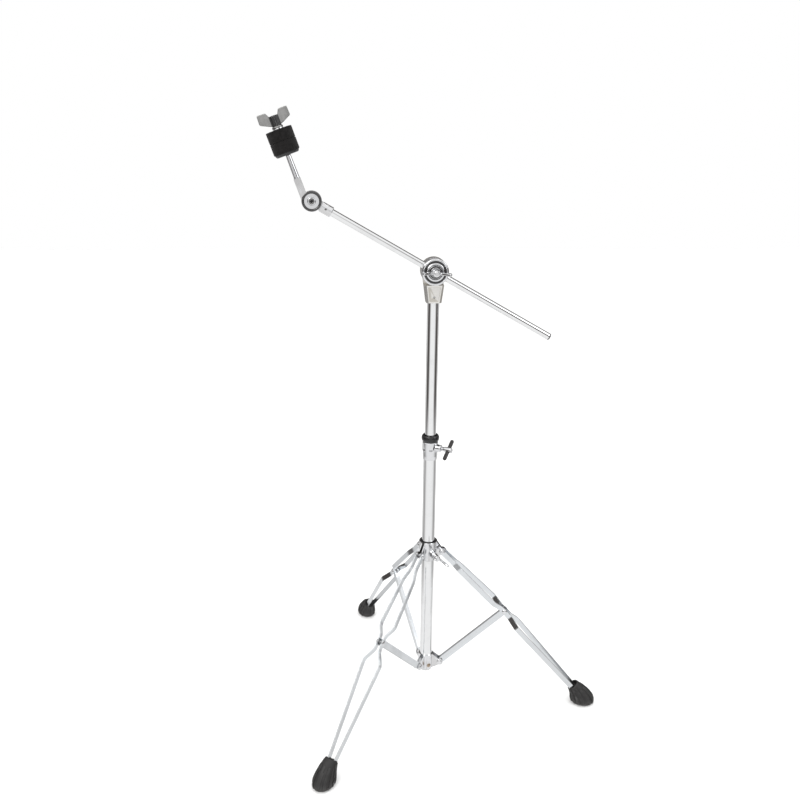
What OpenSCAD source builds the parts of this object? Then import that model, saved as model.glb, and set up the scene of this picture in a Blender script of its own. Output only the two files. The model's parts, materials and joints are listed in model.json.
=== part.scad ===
// Cymbal boom stand: a telescoping column on a folding double-strip tripod,
// carrying a boom arm with a ratchet tilter and a small tilter for the cymbal post.
// Millimetres, +Z up, floor at Z = 0, the boom lies in the XZ direction.
// The model's origin is the middle of its own footprint on the floor.

/* [Column] */
// Outside diameter of the lower tube
lower_od = 25.4; // [22:0.1:32]
// Wall of the lower tube
lower_wall = 1.2; // [1:0.1:2]
// Height of the lower tube's bottom end above the floor
tube_bottom = 60; // [50:1:66]
// Height of the lower tube's top end above the floor
tube_top = 571; // [520:1:700]
// Outside diameter of the upper tube
upper_od = 22.2; // [16:0.1:22.4]
// Wall of the upper tube
upper_wall = 1.2; // [1:0.1:2]
// Length of the upper tube
upper_len = 540; // [400:1:560]
// Height of the boom tilter's axis above the floor
tilt_h = 902; // [860:1:1100]
// Radial running clearance of a sliding or turning fit
run_gap = 0.05; // [0.02:0.01:0.1]
// Clearance between moving faces that do not guide each other
free_gap = 0.35; // [0.3:0.05:0.6]
// Clearance of a riveted or glued joint
fix_gap = 0.03; // [0.02:0.01:0.05]

/* [Tripod] */
// Turn of the first leg about the column, from the boom's plane
leg_turn = -10.3; // [-60:0.1:60]
// Distance of the leg and brace pivots from the column's axis
pivot_r = 29; // [26:0.5:34]
// Height of the sliding collar's leg pivots
collar_h = 336; // [280:1:400]
// Height of the fixed hub's brace pivots
hub_h = 78; // [74:1:90]
// Distance of the leg and brace joint from the column's axis
joint_r = 160; // [140:1:200]
// Distance of the boot's middle from the column's axis
foot_r = 331; // [290:1:400]
// Height of the leg's axis at the boot's middle
foot_z = 12; // [10:0.5:16]
// Fold of the tripod from open to packed, in degrees
fold_deg = 38; // [20:1:39]

/* [Leg strips] */
// Width of a flat leg strip
strip_w = 10.7; // [10:0.1:16]
// Thickness of a leg strip
strip_t = 2.5; // [1.5:0.1:3]
// Half of the upper loop's width where it opens
loop_half_a = 12; // [10:0.5:16]
// Half of the upper loop's width where it closes
loop_half_b = 16; // [12:0.5:20]
// Half of the lower loop's greatest width
loop_half_c = 19.5; // [14:0.5:24]
// Half of the distance between the strips where they enter the boot
strip_end_half = 6; // [5:0.5:7]
// Rounding run of each bend in a strip
bend_run = 6; // [2:0.5:8]

/* [Braces and pivots] */
// Width of a brace channel across its two flanges
brace_w = 7.5; // [6:0.1:10]
// Depth of a brace channel
brace_d = 13; // [11:0.5:15]
// Sheet thickness of a brace channel
brace_t = 1.4; // [1:0.1:2]
// Diameter of the pivot rivets
rivet_d = 6; // [5:0.1:7]
// Diameter of a pivot rivet's head
rivet_head_d = 10.4; // [8:0.1:12]
// Height of a pivot rivet's head
rivet_head_h = 2.2; // [1.5:0.1:3]

/* [Brackets] */
// Sheet thickness of the pressed bracket plates
plate_t = 2; // [1.5:0.1:2.5]
// Radius of a bracket ear around its pivot
ear_r = 7.5; // [6:0.1:8.5]
// Height of the fixed hub's plates
hub_tall = 33; // [26:1:40]
// Height of the sliding collar's plates
collar_tall = 38; // [30:1:44]
// Radial thickness of the collar's nylon bush
bush_t = 3.4; // [2.5:0.1:5]
// Half of the gap between a collar ear pair
collar_ear_half = 2.6; // [2:0.1:3]

/* [Height clamp] */
// Wall of the clamp band around the lower tube
clamp_wall = 2.6; // [2:0.1:5]
// Height of the clamp band
clamp_band = 18; // [14:1:24]
// Height of the plain sleeve under the band
clamp_sleeve = 18; // [12:1:26]
// How far the nylon ring on top stands out past the lower tube
ring_wall = 4.5; // [3.5:0.1:8]
// Height of the nylon ring on top
ring_tall = 14.5; // [10:0.5:20]
// Turn of the clamp screw about the column
clamp_turn = -34; // [-60:1:-20]
// Length of the clamp screw's cross bar
bar_len = 47; // [36:1:60]
// Diameter of the clamp screw's cross bar
bar_d = 7.6; // [6:0.1:9]
// Diameter of every screw thread
thread_d = 8; // [7.6:0.1:8.4]

/* [Boom tilter] */
// Diameter of the tilter's round jaws
jaw_d = 49; // [44:0.5:56]
// Width of the tilter body's neck at its foot
neck_w = 28; // [27:0.5:32]
// Width of the tilter body's neck under the jaws
neck_top_w = 36.6; // [33:0.5:42]
// Depth of the tilter body's neck
neck_deep = 27; // [26.5:0.5:30]
// Length of the neck from the tilter's axis to its foot
neck_len = 58; // [54:1:70]
// Depth of the upper tube in the neck
socket_deep = 28; // [20:1:30]
// Span of the boom tilter's wing nut
tilt_wing_span = 54; // [44:1:64]

/* [Boom] */
// Diameter of the boom
boom_od = 12.7; // [10:0.1:14]
// Wall of the boom
boom_wall = 1.3; // [1:0.1:2]
// Slope of the boom above level, in degrees
boom_slope = 29.4; // [0:0.1:60]
// Length of the boom from the tilter's axis to its cymbal end
boom_out = 230; // [140:1:300]
// Length of the boom from the tilter's axis to its free end
boom_back = 250; // [120:1:320]
// Thickness of the nylon liner around the boom
liner_t = 1; // [0.8:0.1:1.5]
// Wall of the boom's end socket
socket_wall = 2.85; // [2:0.05:4]
// Length of the boom's end socket
socket_len = 21; // [16:0.5:30]

/* [Cymbal tilter] */
// Diameter of the small tilter's discs
disc_d = 35; // [30:0.5:40]
// Thickness of each of its two halves
half_t = 9; // [7:0.5:11]
// Lean of the cymbal post from upright, in degrees
post_lean = 20; // [-20:1:60]
// Sideways offset of the post from the small tilter's axis
post_off = 10; // [6:0.5:11]
// Length of the cast arm from the small tilter's axis
arm_len = 44; // [36:1:60]
// Distance from the small tilter's axis to the seat
seat_at = 85; // [70:1:110]
// Thickness of the seat cup
cup_t = 4.5; // [3:0.5:7]
// Diameter of a felt
felt_d = 46; // [38:0.5:52]
// Thickness of a felt
felt_t = 19.6; // [12:0.1:24]
// Wall of the sleeve that lines the felts
sleeve_t = 1.2; // [1:0.1:1.6]
// Span of the cymbal wing nut
nut_span = 55; // [44:1:62]

/* [Hidden] */
$fn = 64;

lower_r = lower_od / 2;
lower_ir = lower_r - lower_wall;
upper_r = upper_od / 2;
upper_ir = upper_r - upper_wall;
boom_r = boom_od / 2;
rivet_r = rivet_d / 2;
thread_r = thread_d / 2;

// Tripod: the leg and brace arms are equal, so the linkage closes exactly.
joint_h = (collar_h + hub_h) / 2;
arm_rise = (collar_h - hub_h) / 2;
arm_run = joint_r - pivot_r;
arm_link = norm([arm_rise, arm_run]);
upper_deg = atan2(arm_rise, arm_run);
shin = norm([foot_r - joint_r, joint_h - foot_z]);
lower_deg = atan2(joint_h - foot_z, foot_r - joint_r);
strip_at_ear = collar_ear_half + plate_t + free_gap + strip_t / 2;
strip_at_joint = brace_w / 2 + free_gap + strip_t / 2;
strip_back = 15;
eye_r = strip_w / 2 + 0.5;

// Brackets.
hub_ear_half = brace_w / 2 + free_gap;
hub_z0 = hub_h - 15;
hub_in_r = lower_r + fix_gap;
collar_z0 = collar_h - 15.5;
bush_in_r = lower_r + run_gap;
bush_out_r = bush_in_r + bush_t;
collar_in_r = bush_out_r + fix_gap;
collar_out_r = collar_in_r + plate_t;
screw_turn = leg_turn - 60;

// Clamp.
clamp_r = lower_r + clamp_wall;
ring_r = lower_r + ring_wall;
clamp_z0 = tube_top - clamp_band - clamp_sleeve;
band_z0 = tube_top - clamp_band;
clamp_z = tube_top - 11;
bar_r_at = clamp_r + 24;

// Boom tilter, by depth: the viewer's side is -Y.
jaw_r = jaw_d / 2;
liner_r = boom_r + run_gap + liner_t;
groove_r = liner_r + run_gap;
barrel_r = groove_r + 3.2;
rear_y = 1;
rear_t = 10;
boom_y = -(groove_r + 3.2);
jaw_rear_y0 = boom_y + 0.3;
jaw_rear_y1 = rear_y - free_gap;
jaw_front_y1 = boom_y - 0.3;
jaw_front_t = groove_r + 6.55;
barrel_y0 = boom_y - groove_r - 1.6;
barrel_y1 = boom_y + groove_r + 1.4;
jaw_front_y0 = jaw_front_y1 - jaw_front_t;
boss_y0 = jaw_front_y0 - 3;
washer_t = 1.6;
washer_y0 = boss_y0 - washer_t;
nut_y1 = washer_y0 - free_gap;
nut_hub_len = 15;
neck_foot = tilt_h - neck_len;
neck_cut = tilt_h - jaw_r - 1;
upper_top = neck_foot + socket_deep;
upper_bottom = upper_top - upper_len;

// Small tilter.
disc_r = disc_d / 2;
socket_r = boom_r + socket_wall;
disc_at = boom_out + 20.7;
disc_x = -disc_at * cos(boom_slope);
disc_z = tilt_h + disc_at * sin(boom_slope);
cap_t = 4;
felt_r = felt_d / 2;
sleeve_ir = thread_r + run_gap;
sleeve_r = sleeve_ir + sleeve_t;
felt_z0 = seat_at + cup_t;
felt_mid = felt_z0 + felt_t + 0.1;
felt_top = felt_mid + felt_t;
felt_washer_t = 2.5;
nut_z0 = felt_top + 0.05 + felt_washer_t + free_gap;
nut_hub_tall = 20.5;

// The origin sits in the middle of the footprint: the boots' noses on one side,
// the cymbal wing nut's tip on the other.
boot_reach = foot_r + 26;
nut_reach = disc_at * cos(boom_slope) + (nut_z0 + 28) * sin(post_lean)
    + (post_off + nut_span / 2) * cos(post_lean);
pole_x = (nut_reach - boot_reach * cos(leg_turn)) / 2;
pole_y = -boot_reach * (sin(leg_turn + 120) + sin(leg_turn - 120)) / 2;

function leg_az(i) = leg_turn - 120 * (i - 1);
function unit(v) = v / norm(v);
function left_of(v) = [-v[1], v[0]];
function bez(a, b, c, t) = (1 - t) * (1 - t) * a + 2 * t * (1 - t) * b + t * t * c;
function eased(p, d) = [for (i = [0 : len(p) - 1]) each
    (i == 0 || i == len(p) - 1) ? [p[i]] :
    [for (k = [0 : 4]) bez(p[i] + unit(p[i - 1] - p[i]) * d, p[i],
        p[i] + unit(p[i + 1] - p[i]) * d, k / 4)]];
function edge(p, h) = [for (i = [0 : len(p) - 1]) let(
    a = unit(i == 0 ? p[1] - p[0] : p[i] - p[i - 1]),
    b = i == len(p) - 1 ? a : unit(p[i + 1] - p[i]),
    m = unit(left_of(a) + left_of(b))) p[i] + m * (h / (m * left_of(a)))];

module place() {
    translate([pole_x, pole_y, 0]) children();
}
module at_leg(i) {
    place() rotate([0, 0, leg_az(i)]) children();
}
module ring(r1, r0, h) {
    difference() {
        cylinder(r = r1, h = h);
        translate([0, 0, -1]) cylinder(r = r0, h = h + 2);
    }
}
module cross_cyl(r, y0, y1) {
    translate([0, y1, 0]) rotate([90, 0, 0]) cylinder(r = r, h = y1 - y0);
}
// A domed rivet along Y with its shank between the two head planes.
module rivet(r, half, head_r, head_h) {
    rotate([90, 0, 0]) rotate_extrude() polygon(concat(
        [[0, -half - head_h]],
        [for (a = [75 : -15 : 0]) [head_r * cos(a), -half - head_h * sin(a)]],
        [[r, -half], [r, half]],
        [for (a = [0 : 15 : 75]) [head_r * cos(a), half + head_h * sin(a)]],
        [[0, half + head_h]]));
}
module ribbon(p, t) {
    polygon(concat(edge(p, t / 2), [for (i = [len(p) - 1 : -1 : 0]) edge(p, -t / 2)[i]]));
}

// ---------- column ----------
module lower_tube() {
    color([0.86, 0.87, 0.88]) place() difference() {
        translate([0, 0, tube_bottom]) ring(lower_r, lower_ir, tube_top - tube_bottom);
        for (i = [1 : 3]) rotate([0, 0, leg_az(i) - 60]) translate([0, 0, hub_z0 + 9])
            rotate([0, 90, 0]) cylinder(r = 2.5 + fix_gap, h = 20);
        rotate([0, 0, clamp_turn]) translate([0, 0, clamp_z])
            rotate([0, 90, 0]) cylinder(r = thread_r + 0.6, h = 20);
    }
}
module tube_plug() {
    color([0.06, 0.06, 0.06]) place() union() {
        translate([0, 0, tube_bottom - 2]) cylinder(r = lower_r - 0.4, h = 2);
        translate([0, 0, tube_bottom - 0.1]) cylinder(r = lower_ir - fix_gap, h = 6.1);
    }
}
// One pressed plate between leg i and the next: an arc with an ear at each end.
module plate(i, r0, t, half, z0, tall, pz, hole) {
    r1 = r0 + t;
    place() difference() {
        union() {
            translate([0, 0, z0]) linear_extrude(height = tall) intersection() {
                difference() {
                    circle(r = r1);
                    circle(r = r0);
                    rotate(leg_az(i)) translate([0, -half]) square([2 * r1, 2 * half]);
                    rotate(leg_az(i) - 120) translate([0, -half]) square([2 * r1, 2 * half]);
                }
                rotate(leg_az(i) - 60) polygon([[0, 0], [4 * r1 * cos(60), -4 * r1 * sin(60)],
                    [6 * r1, 0], [4 * r1 * cos(60), 4 * r1 * sin(60)]]);
            }
            rotate([0, 0, leg_az(i)]) ear(r0, t, -half - t, z0, tall, pz);
            rotate([0, 0, leg_az(i) - 120]) ear(r0, t, half, z0, tall, pz);
        }
        for (k = [0, 1]) rotate([0, 0, leg_az(i) - 120 * k]) translate([pivot_r, 0, pz])
            cross_cyl(hole, -half - t - 1, half + t + 1);
        children();
    }
}
module ear(r0, t, y0, z0, tall, pz) {
    rs = sqrt(pow(r0 + t * 0.3, 2) - pow(min(abs(y0), abs(y0 + t)), 2));
    translate([0, y0 + t, 0]) rotate([90, 0, 0]) linear_extrude(height = t) union() {
        polygon([[rs, z0], [pivot_r - 2, pz - ear_r * 0.97], [pivot_r, pz],
            [pivot_r - 2, pz + ear_r * 0.97], [rs, z0 + tall]]);
        translate([pivot_r, pz]) circle(r = ear_r);
    }
}
module hub_plate(i) {
    color([0.8, 0.81, 0.82]) plate(i, hub_in_r, plate_t, hub_ear_half, hub_z0, hub_tall, hub_h,
        rivet_r + fix_gap)
        rotate([0, 0, leg_az(i) - 60]) translate([0, 0, hub_z0 + 9])
            rotate([0, 90, 0]) cylinder(r = 2.5 + fix_gap, h = 30);
}
module hub_rivets() {
    color([0.62, 0.56, 0.5]) place() for (i = [1 : 3]) rotate([0, 0, leg_az(i) - 60])
        translate([0, 0, hub_z0 + 9]) rotate([0, 90, 0]) rotate_extrude() polygon(concat(
            [[0, lower_ir - 0.2], [2.5, lower_ir - 0.2], [2.5, hub_in_r + plate_t + fix_gap]],
            [for (a = [0 : 15 : 75]) [4.4 * cos(a), hub_in_r + plate_t + fix_gap + 1.8 * sin(a)]],
            [[0, hub_in_r + plate_t + fix_gap + 1.8]]));
}
module hub_pins() {
    color([0.8, 0.81, 0.82]) for (i = [1 : 3]) at_leg(i) translate([pivot_r, 0, hub_h])
        rivet(rivet_r, hub_ear_half + plate_t + fix_gap, rivet_head_d / 2, rivet_head_h);
}
// ---------- braces ----------
module brace(i) {
    color([0.84, 0.85, 0.86]) at_leg(i) translate([pivot_r, 0, hub_h])
        rotate([0, -upper_deg, 0]) difference() {
            union() {
                for (y = [-brace_w / 2, brace_w / 2 - brace_t])
                    translate([0, y + brace_t, 0]) rotate([90, 0, 0])
                        linear_extrude(height = brace_t) union() {
                            circle(r = brace_d / 2);
                            translate([0, -brace_d / 2]) square([arm_link, brace_d]);
                            translate([arm_link, 0]) circle(r = brace_d / 2);
                        }
                translate([9, -brace_w / 2, brace_d / 2 - brace_t])
                    cube([arm_link - 18, brace_w, brace_t]);
            }
            for (x = [0, arm_link]) translate([x, 0, 0])
                cross_cyl(rivet_r + run_gap, -brace_w, brace_w);
        }
}
// ---------- legs ----------
module strip(i, s) {
    color([0.84, 0.85, 0.86]) at_leg(i) translate([pivot_r, 0, collar_h])
        scale_y(s) difference() {
            union() {
                rotate([0, upper_deg, 0]) {
                    translate([0, 0, -strip_w / 2]) linear_extrude(height = strip_w)
                        ribbon(eased([[0, strip_at_ear], [32, strip_at_ear], [54, loop_half_a],
                            [arm_link - 31, loop_half_b], [arm_link - 13, strip_at_joint],
                            [arm_link, strip_at_joint]], bend_run), strip_t);
                    cross_cyl(eye_r, strip_at_ear - strip_t / 2, strip_at_ear + strip_t / 2);
                    translate([arm_link, 0, 0])
                        cross_cyl(eye_r, strip_at_joint - strip_t / 2, strip_at_joint + strip_t / 2);
                }
                translate([arm_run, 0, -arm_rise]) rotate([0, lower_deg, 0])
                    translate([0, 0, -strip_w / 2]) linear_extrude(height = strip_w)
                        ribbon(eased([[0, strip_at_joint], [17, strip_at_joint], [41, loop_half_c],
                            [shin - strip_back, strip_end_half]], bend_run), strip_t);
            }
            cross_cyl(rivet_r + run_gap, -40, 40);
            translate([arm_run, 0, -arm_rise]) cross_cyl(rivet_r + fix_gap, -40, 40);
        }
}
module scale_y(s) {
    if (s > 0) children();
    else mirror([0, 1, 0]) children();
}
module leg_pin(i) {
    color([0.8, 0.81, 0.82]) at_leg(i) translate([joint_r, 0, joint_h])
        rivet(rivet_r, strip_at_joint + strip_t / 2 + fix_gap, rivet_head_d / 2, rivet_head_h);
}
module boot(i) {
    color([0.05, 0.05, 0.05]) at_leg(i) difference() {
        hull() {
            translate([foot_r + 2, 0, 0]) resize([43, 35, 1]) cylinder(r = 20, h = 1, $fn = 32);
            translate([foot_r + 1, 0, 7]) resize([48, 39, 5]) cylinder(r = 20, h = 5, $fn = 32);
            translate([foot_r, 0, foot_z]) rotate([0, lower_deg - 90, 0])
                translate([3, 0, 33]) resize([24, 25, 2]) cylinder(r = 12, h = 2, $fn = 32);
        }
        for (s = [0, 1]) mirror([0, s, 0]) translate([joint_r, 0, joint_h]) rotate([0, lower_deg, 0])
            translate([0, 0, -strip_w / 2 - fix_gap])
                linear_extrude(height = strip_w + 2 * fix_gap)
                    ribbon(eased([[0, strip_at_joint], [17, strip_at_joint], [41, loop_half_c],
                        [shin - strip_back + fix_gap, strip_end_half]], bend_run),
                        strip_t + 2 * fix_gap);
    }
}
// ---------- sliding collar ----------
module screw_bore(r, z) {
    rotate([0, 0, screw_turn]) translate([0, 0, z]) rotate([0, 90, 0]) cylinder(r = r, h = 60);
}
module collar_bush() {
    color([0.07, 0.07, 0.07]) place() difference() {
        translate([0, 0, collar_z0 - 2]) rotate_extrude() polygon([
            [bush_in_r, 0], [bush_out_r - 0.8, 0], [bush_out_r, 0.8],
            [bush_out_r, collar_tall + 3], [bush_out_r - 1.2, collar_tall + 5],
            [bush_in_r, collar_tall + 5]]);
        screw_bore(thread_r + run_gap, collar_z0 + 16);
    }
}
module collar_plate(i) {
    color([0.8, 0.81, 0.82]) plate(i, collar_in_r, plate_t, collar_ear_half, collar_z0,
        collar_tall, collar_h, rivet_r + fix_gap)
        screw_bore(thread_r + run_gap, collar_z0 + 16);
}
module collar_pins() {
    color([0.8, 0.81, 0.82]) for (i = [1 : 3]) at_leg(i) translate([pivot_r, 0, collar_h])
        rivet(rivet_r, strip_at_ear + strip_t / 2 + free_gap, rivet_head_d / 2, rivet_head_h);
}
module collar_nut() {
    color([0.78, 0.79, 0.8]) place() rotate([0, 0, screw_turn])
        translate([0, 0, collar_z0 + 16]) rotate([0, 90, 0]) difference() {
            translate([0, 0, collar_out_r - 0.6]) cylinder(r = 7.6, h = 7.6);
            translate([0, 0, -1]) cylinder(r = thread_r + run_gap, h = 60);
            rotate([0, -90, 0]) translate([0, 0, -20]) cylinder(r = collar_out_r + fix_gap, h = 40);
        }
}
// A wing plate in the XZ plane, its hub along Z.
module wing_pair(pts, t) {
    for (s = [0, 1]) mirror([s, 0, 0]) translate([0, t / 2, 0]) rotate([90, 0, 0])
        linear_extrude(height = t) polygon(pts);
}
module collar_screw() {
    color([0.78, 0.79, 0.8]) place() rotate([0, 0, screw_turn])
        translate([0, 0, collar_z0 + 16]) rotate([0, 90, 0]) rotate([0, 0, 55]) union() {
            translate([0, 0, lower_r + free_gap])
                cylinder(r = thread_r, h = collar_out_r + 10 - lower_r);
            translate([0, 0, collar_out_r + 8.2]) cylinder(r1 = 7.4, r2 = 6, h = 17);
            translate([0, 0, collar_out_r + 25.2]) cylinder(r1 = 6, r2 = 4.6, h = 1.4);
            translate([0, 0, collar_out_r + 8.2]) wing_pair([[4, 4], [8, 5], [18, 15],
                [21, 33], [17, 37], [12, 32], [7, 17], [4, 14]], 4);
        }
}
// ---------- height clamp ----------
module clamp_shell() {
    color([0.8, 0.81, 0.82]) place() difference() {
        union() {
            translate([0, 0, clamp_z0]) rotate_extrude() polygon([
                [lower_r + fix_gap, 0], [lower_r + 0.7, 0], [clamp_r - 0.9, 8],
                [clamp_r - 0.9, clamp_sleeve - 1], [clamp_r, clamp_sleeve],
                [clamp_r, clamp_sleeve + clamp_band - 1], [clamp_r - 1, clamp_sleeve + clamp_band],
                [lower_r + fix_gap, clamp_sleeve + clamp_band]]);
            rotate([0, 0, clamp_turn]) translate([0, 0, clamp_z]) rotate([0, 90, 0])
                translate([0, 0, lower_r + 1]) cylinder(r = 7, h = clamp_r + 7 - lower_r);
            rotate([0, 0, clamp_turn]) translate([0, 0, clamp_z]) rotate([0, 90, 0])
                translate([0, 0, clamp_r + 7]) cylinder(r1 = 7, r2 = 5.8, h = 2);
        }
        translate([0, 0, clamp_z0 - 1]) cylinder(r = lower_r + fix_gap, h = 60);
        rotate([0, 0, clamp_turn]) translate([0, 0, clamp_z]) rotate([0, 90, 0])
            cylinder(r = thread_r + run_gap, h = 50);
        for (k = [1 : 5]) rotate([0, 0, clamp_turn - 60 * k + 2])
            translate([clamp_r - 1, 0, band_z0 + 3.6]) rotate([0, 90, 0]) {
                translate([0, -2.2, 0]) cylinder(r = 1.5, h = 4);
                translate([0, 2.2, 0]) cylinder(r = 1.5, h = 4);
                translate([-1.5, -2.2, 0]) cube([3, 4.4, 4]);
            }
    }
}
module clamp_ring() {
    ro = ring_r;
    rz = 0.53 * ring_tall;
    color([0.04, 0.04, 0.04]) place() translate([0, 0, tube_top]) rotate_extrude() polygon(concat(
        [[upper_r + run_gap, 0], [ro - 3, 0]],
        [for (a = [-60 : 15 : 75]) [ro - 4 + 4 * cos(a), rz + (ring_tall - rz) * sin(a)]],
        [[ro - 4, ring_tall], [upper_r + 3.4, ring_tall - 0.6], [upper_r + run_gap, ring_tall - 5.6]]));
}
module clamp_screw() {
    color([0.55, 0.56, 0.57]) place() rotate([0, 0, clamp_turn]) translate([0, 0, clamp_z])
        rotate([0, 90, 0]) difference() {
            union() {
                translate([0, 0, upper_r + free_gap]) cylinder(r = thread_r, h = bar_r_at - upper_r - 9);
                translate([0, 0, bar_r_at - 10]) cylinder(r1 = 4.6, r2 = 5.4, h = 3);
                translate([0, 0, bar_r_at - 7]) cylinder(r = 5.4, h = 13);
                translate([0, 0, bar_r_at + 6]) cylinder(r1 = 5.4, r2 = 4.2, h = 1.2);
            }
            rotate([0, 0, -52]) translate([-30, 0, bar_r_at]) rotate([0, 90, 0])
                cylinder(r = bar_d / 2 + fix_gap, h = 60);
        }
}
module clamp_bar() {
    r = bar_d / 2;
    half = bar_len / 2 - r;
    color([0.05, 0.05, 0.05]) place() rotate([0, 0, clamp_turn]) translate([0, 0, clamp_z])
        rotate([0, 90, 0]) rotate([0, 0, -52]) translate([0, 0, bar_r_at]) rotate([0, 90, 0])
            rotate_extrude() polygon(concat(
                [for (a = [-90 : 15 : 0]) [r * cos(a), -half + r * sin(a)]],
                [for (a = [0 : 15 : 90]) [r * cos(a), half + r * sin(a)]]));
}
// ---------- upper column ----------
module guide_ring() {
    color([0.9, 0.9, 0.86]) place() translate([0, 0, upper_bottom - 3]) rotate_extrude() polygon([
        [upper_ir - 2.4, 0], [lower_ir - run_gap, 0], [lower_ir - run_gap, 2.7],
        [upper_ir - run_gap, 2.7], [upper_ir - run_gap, 15], [upper_ir - 2.4, 15]]);
}
module upper_tube() {
    color([0.88, 0.89, 0.9]) place() translate([0, 0, upper_bottom]) ring(upper_r, upper_ir, upper_len);
}
module tapered(h0, h1, z0, z1) {
    translate([0, 60, 0]) rotate([90, 0, 0]) linear_extrude(height = 120)
        polygon([[-h0, z0], [h0, z0], [h1, z1], [-h1, z1]]);
}
module tilter_body() {
    z0 = neck_foot;
    z1 = tilt_h;
    grow = (neck_top_w - neck_w) / 2 / (neck_cut - z0) * (z1 - z0);
    color([0.74, 0.73, 0.7]) place() difference() {
        union() {
            difference() {
                intersection() {
                    tapered(neck_w / 2, neck_w / 2 + grow, z0, z1);
                    rotate([0, 0, 90]) tapered(neck_deep / 2, neck_deep / 2 + 1, z0, z1);
                    rotate([0, 0, 45]) tapered(16.6, 16.6 + grow * 0.8, z0, z1);
                    rotate([0, 0, -45]) tapered(16.6, 16.6 + grow * 0.8, z0, z1);
                }
                translate([-60, -60, neck_cut]) cube([120, 60 + rear_y, 120]);
                translate([-60, rear_y + rear_t, tilt_h - jaw_r]) cube([120, 60, 120]);
                translate([0, -neck_deep / 2 + 0.9, 0]) rotate([90, 0, 0])
                    linear_extrude(height = 20) polygon([[-8.6, z0 + 4.5], [-7.2, z0 + 3],
                        [7.2, z0 + 3], [8.6, z0 + 4.5], [11.2, neck_cut - 4.5],
                        [9.8, neck_cut - 3], [-9.8, neck_cut - 3], [-11.2, neck_cut - 4.5]]);
            }
            translate([0, 0, tilt_h]) cross_cyl(jaw_r, rear_y, rear_y + rear_t - 1.5);
            translate([0, rear_y + rear_t - 1.5, tilt_h]) rotate([-90, 0, 0])
                cylinder(r1 = jaw_r, r2 = jaw_r - 1.5, h = 1.5);
        }
        translate([0, 0, z0 - 1]) cylinder(r = upper_r + fix_gap, h = socket_deep + 1);
        translate([0, 0, tilt_h]) cross_cyl(thread_r + run_gap, -5, 40);
        translate([0, 0, z0 + 10.5]) cross_cyl(1.9 + fix_gap, -30, 0);
    }
}
module tilter_set_screw() {
    color([0.3, 0.3, 0.3]) place() translate([0, 0, neck_foot + 10.5]) difference() {
        cross_cyl(1.9, -neck_deep / 2 + 1.6, -upper_r - fix_gap);
        translate([0, -neck_deep / 2 + 2.4, 0]) rotate([90, 0, 0]) cylinder(r = 1.1, h = 3, $fn = 6);
    }
}
// ---------- boom tilter head ----------
module boom_frame() {
    place() translate([0, boom_y, tilt_h]) rotate([0, boom_slope, 0]) children();
}
module head_frame() {
    place() translate([0, 0, tilt_h]) children();
}
module boom_bore(r) {
    translate([0, boom_y, 0]) rotate([0, boom_slope, 0]) translate([-60, 0, 0])
        rotate([0, 90, 0]) cylinder(r = r, h = 120);
}
module jaw_rear() {
    color([0.8, 0.81, 0.82]) head_frame() difference() {
        union() {
            cross_cyl(jaw_r, jaw_rear_y0, jaw_rear_y1 - 1.2);
            cross_cyl(jaw_r - 3.5, jaw_rear_y0 + 1, jaw_rear_y1);
        }
        cross_cyl(thread_r + fix_gap, -40, 40);
        cross_cyl(barrel_r + fix_gap, jaw_rear_y0 - 1, barrel_y1 + fix_gap);
        boom_bore(groove_r);
    }
}
module jaw_front() {
    y0 = jaw_front_y0;
    color([0.82, 0.83, 0.84]) head_frame() difference() {
        rotate([90, 0, 0]) rotate_extrude() polygon([
            [0, -jaw_front_y1], [jaw_r, -jaw_front_y1], [jaw_r, -y0 - 1.6], [jaw_r - 1.6, -y0],
            [jaw_r - 4.4, -y0], [jaw_r - 5.2, -y0 - 1.4], [jaw_r - 7, -y0 - 1.4],
            [jaw_r - 7.8, -y0 + 0.8], [jaw_r - 11, -y0 + 1.2], [jaw_r - 12, -y0 - 0.6],
            [jaw_r - 13.4, -y0 - 0.6], [jaw_r - 14.2, -boss_y0], [0, -boss_y0]]);
        cross_cyl(thread_r + fix_gap, -60, 0);
        cross_cyl(barrel_r + fix_gap, barrel_y0 - fix_gap, 0);
        boom_bore(groove_r);
    }
}
module tilter_bolt() {
    color([0.7, 0.71, 0.72]) head_frame() difference() {
        union() {
            cross_cyl(barrel_r, barrel_y0, barrel_y1);
            cross_cyl(thread_r, nut_y1 - nut_hub_len - 2, rear_y + rear_t + 7.4);
        }
        boom_bore(groove_r);
    }
}
module tilter_rear_nut() {
    y = rear_y + rear_t + free_gap;
    color([0.78, 0.79, 0.8]) head_frame() difference() {
        union() {
            cross_cyl(8.6, y, y + 1.4);
            translate([0, y + 7.6, 0]) rotate([90, 0, 0]) cylinder(r = 7.5, h = 6.4, $fn = 6);
            translate([0, y + 7.5, 0]) rotate([-90, 0, 0]) cylinder(r1 = 6.2, r2 = 3, h = 3.4);
        }
        cross_cyl(thread_r + fix_gap, 0, y + 7.2);
    }
}
module tilter_washer() {
    color([0.75, 0.76, 0.77]) head_frame() difference() {
        cross_cyl(8.6, washer_y0, boss_y0 - fix_gap);
        cross_cyl(thread_r + 0.2, washer_y0 - 1, boss_y0 + 1);
    }
}
module tilter_wing_nut() {
    color([0.8, 0.81, 0.82]) head_frame() translate([0, nut_y1, 0]) rotate([90, 0, 0])
        rotate([0, 0, -3]) difference() {
            union() {
                cylinder(r1 = 8.4, r2 = 6.4, h = nut_hub_len - 2);
                translate([0, 0, nut_hub_len - 2]) cylinder(r1 = 6.4, r2 = 5, h = 2);
                wing_pair([[4, 3], [8, 3.5], [tilt_wing_span / 2 - 2, 10],
                    [tilt_wing_span / 2, 12], [tilt_wing_span / 2 - 1, 23],
                    [tilt_wing_span / 2 - 4, 25], [14, 19], [6, 12.5], [4, 12.5]], 4.4);
            }
            translate([0, 0, -1]) cylinder(r = thread_r + run_gap, h = nut_hub_len + 4);
        }
}
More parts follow.
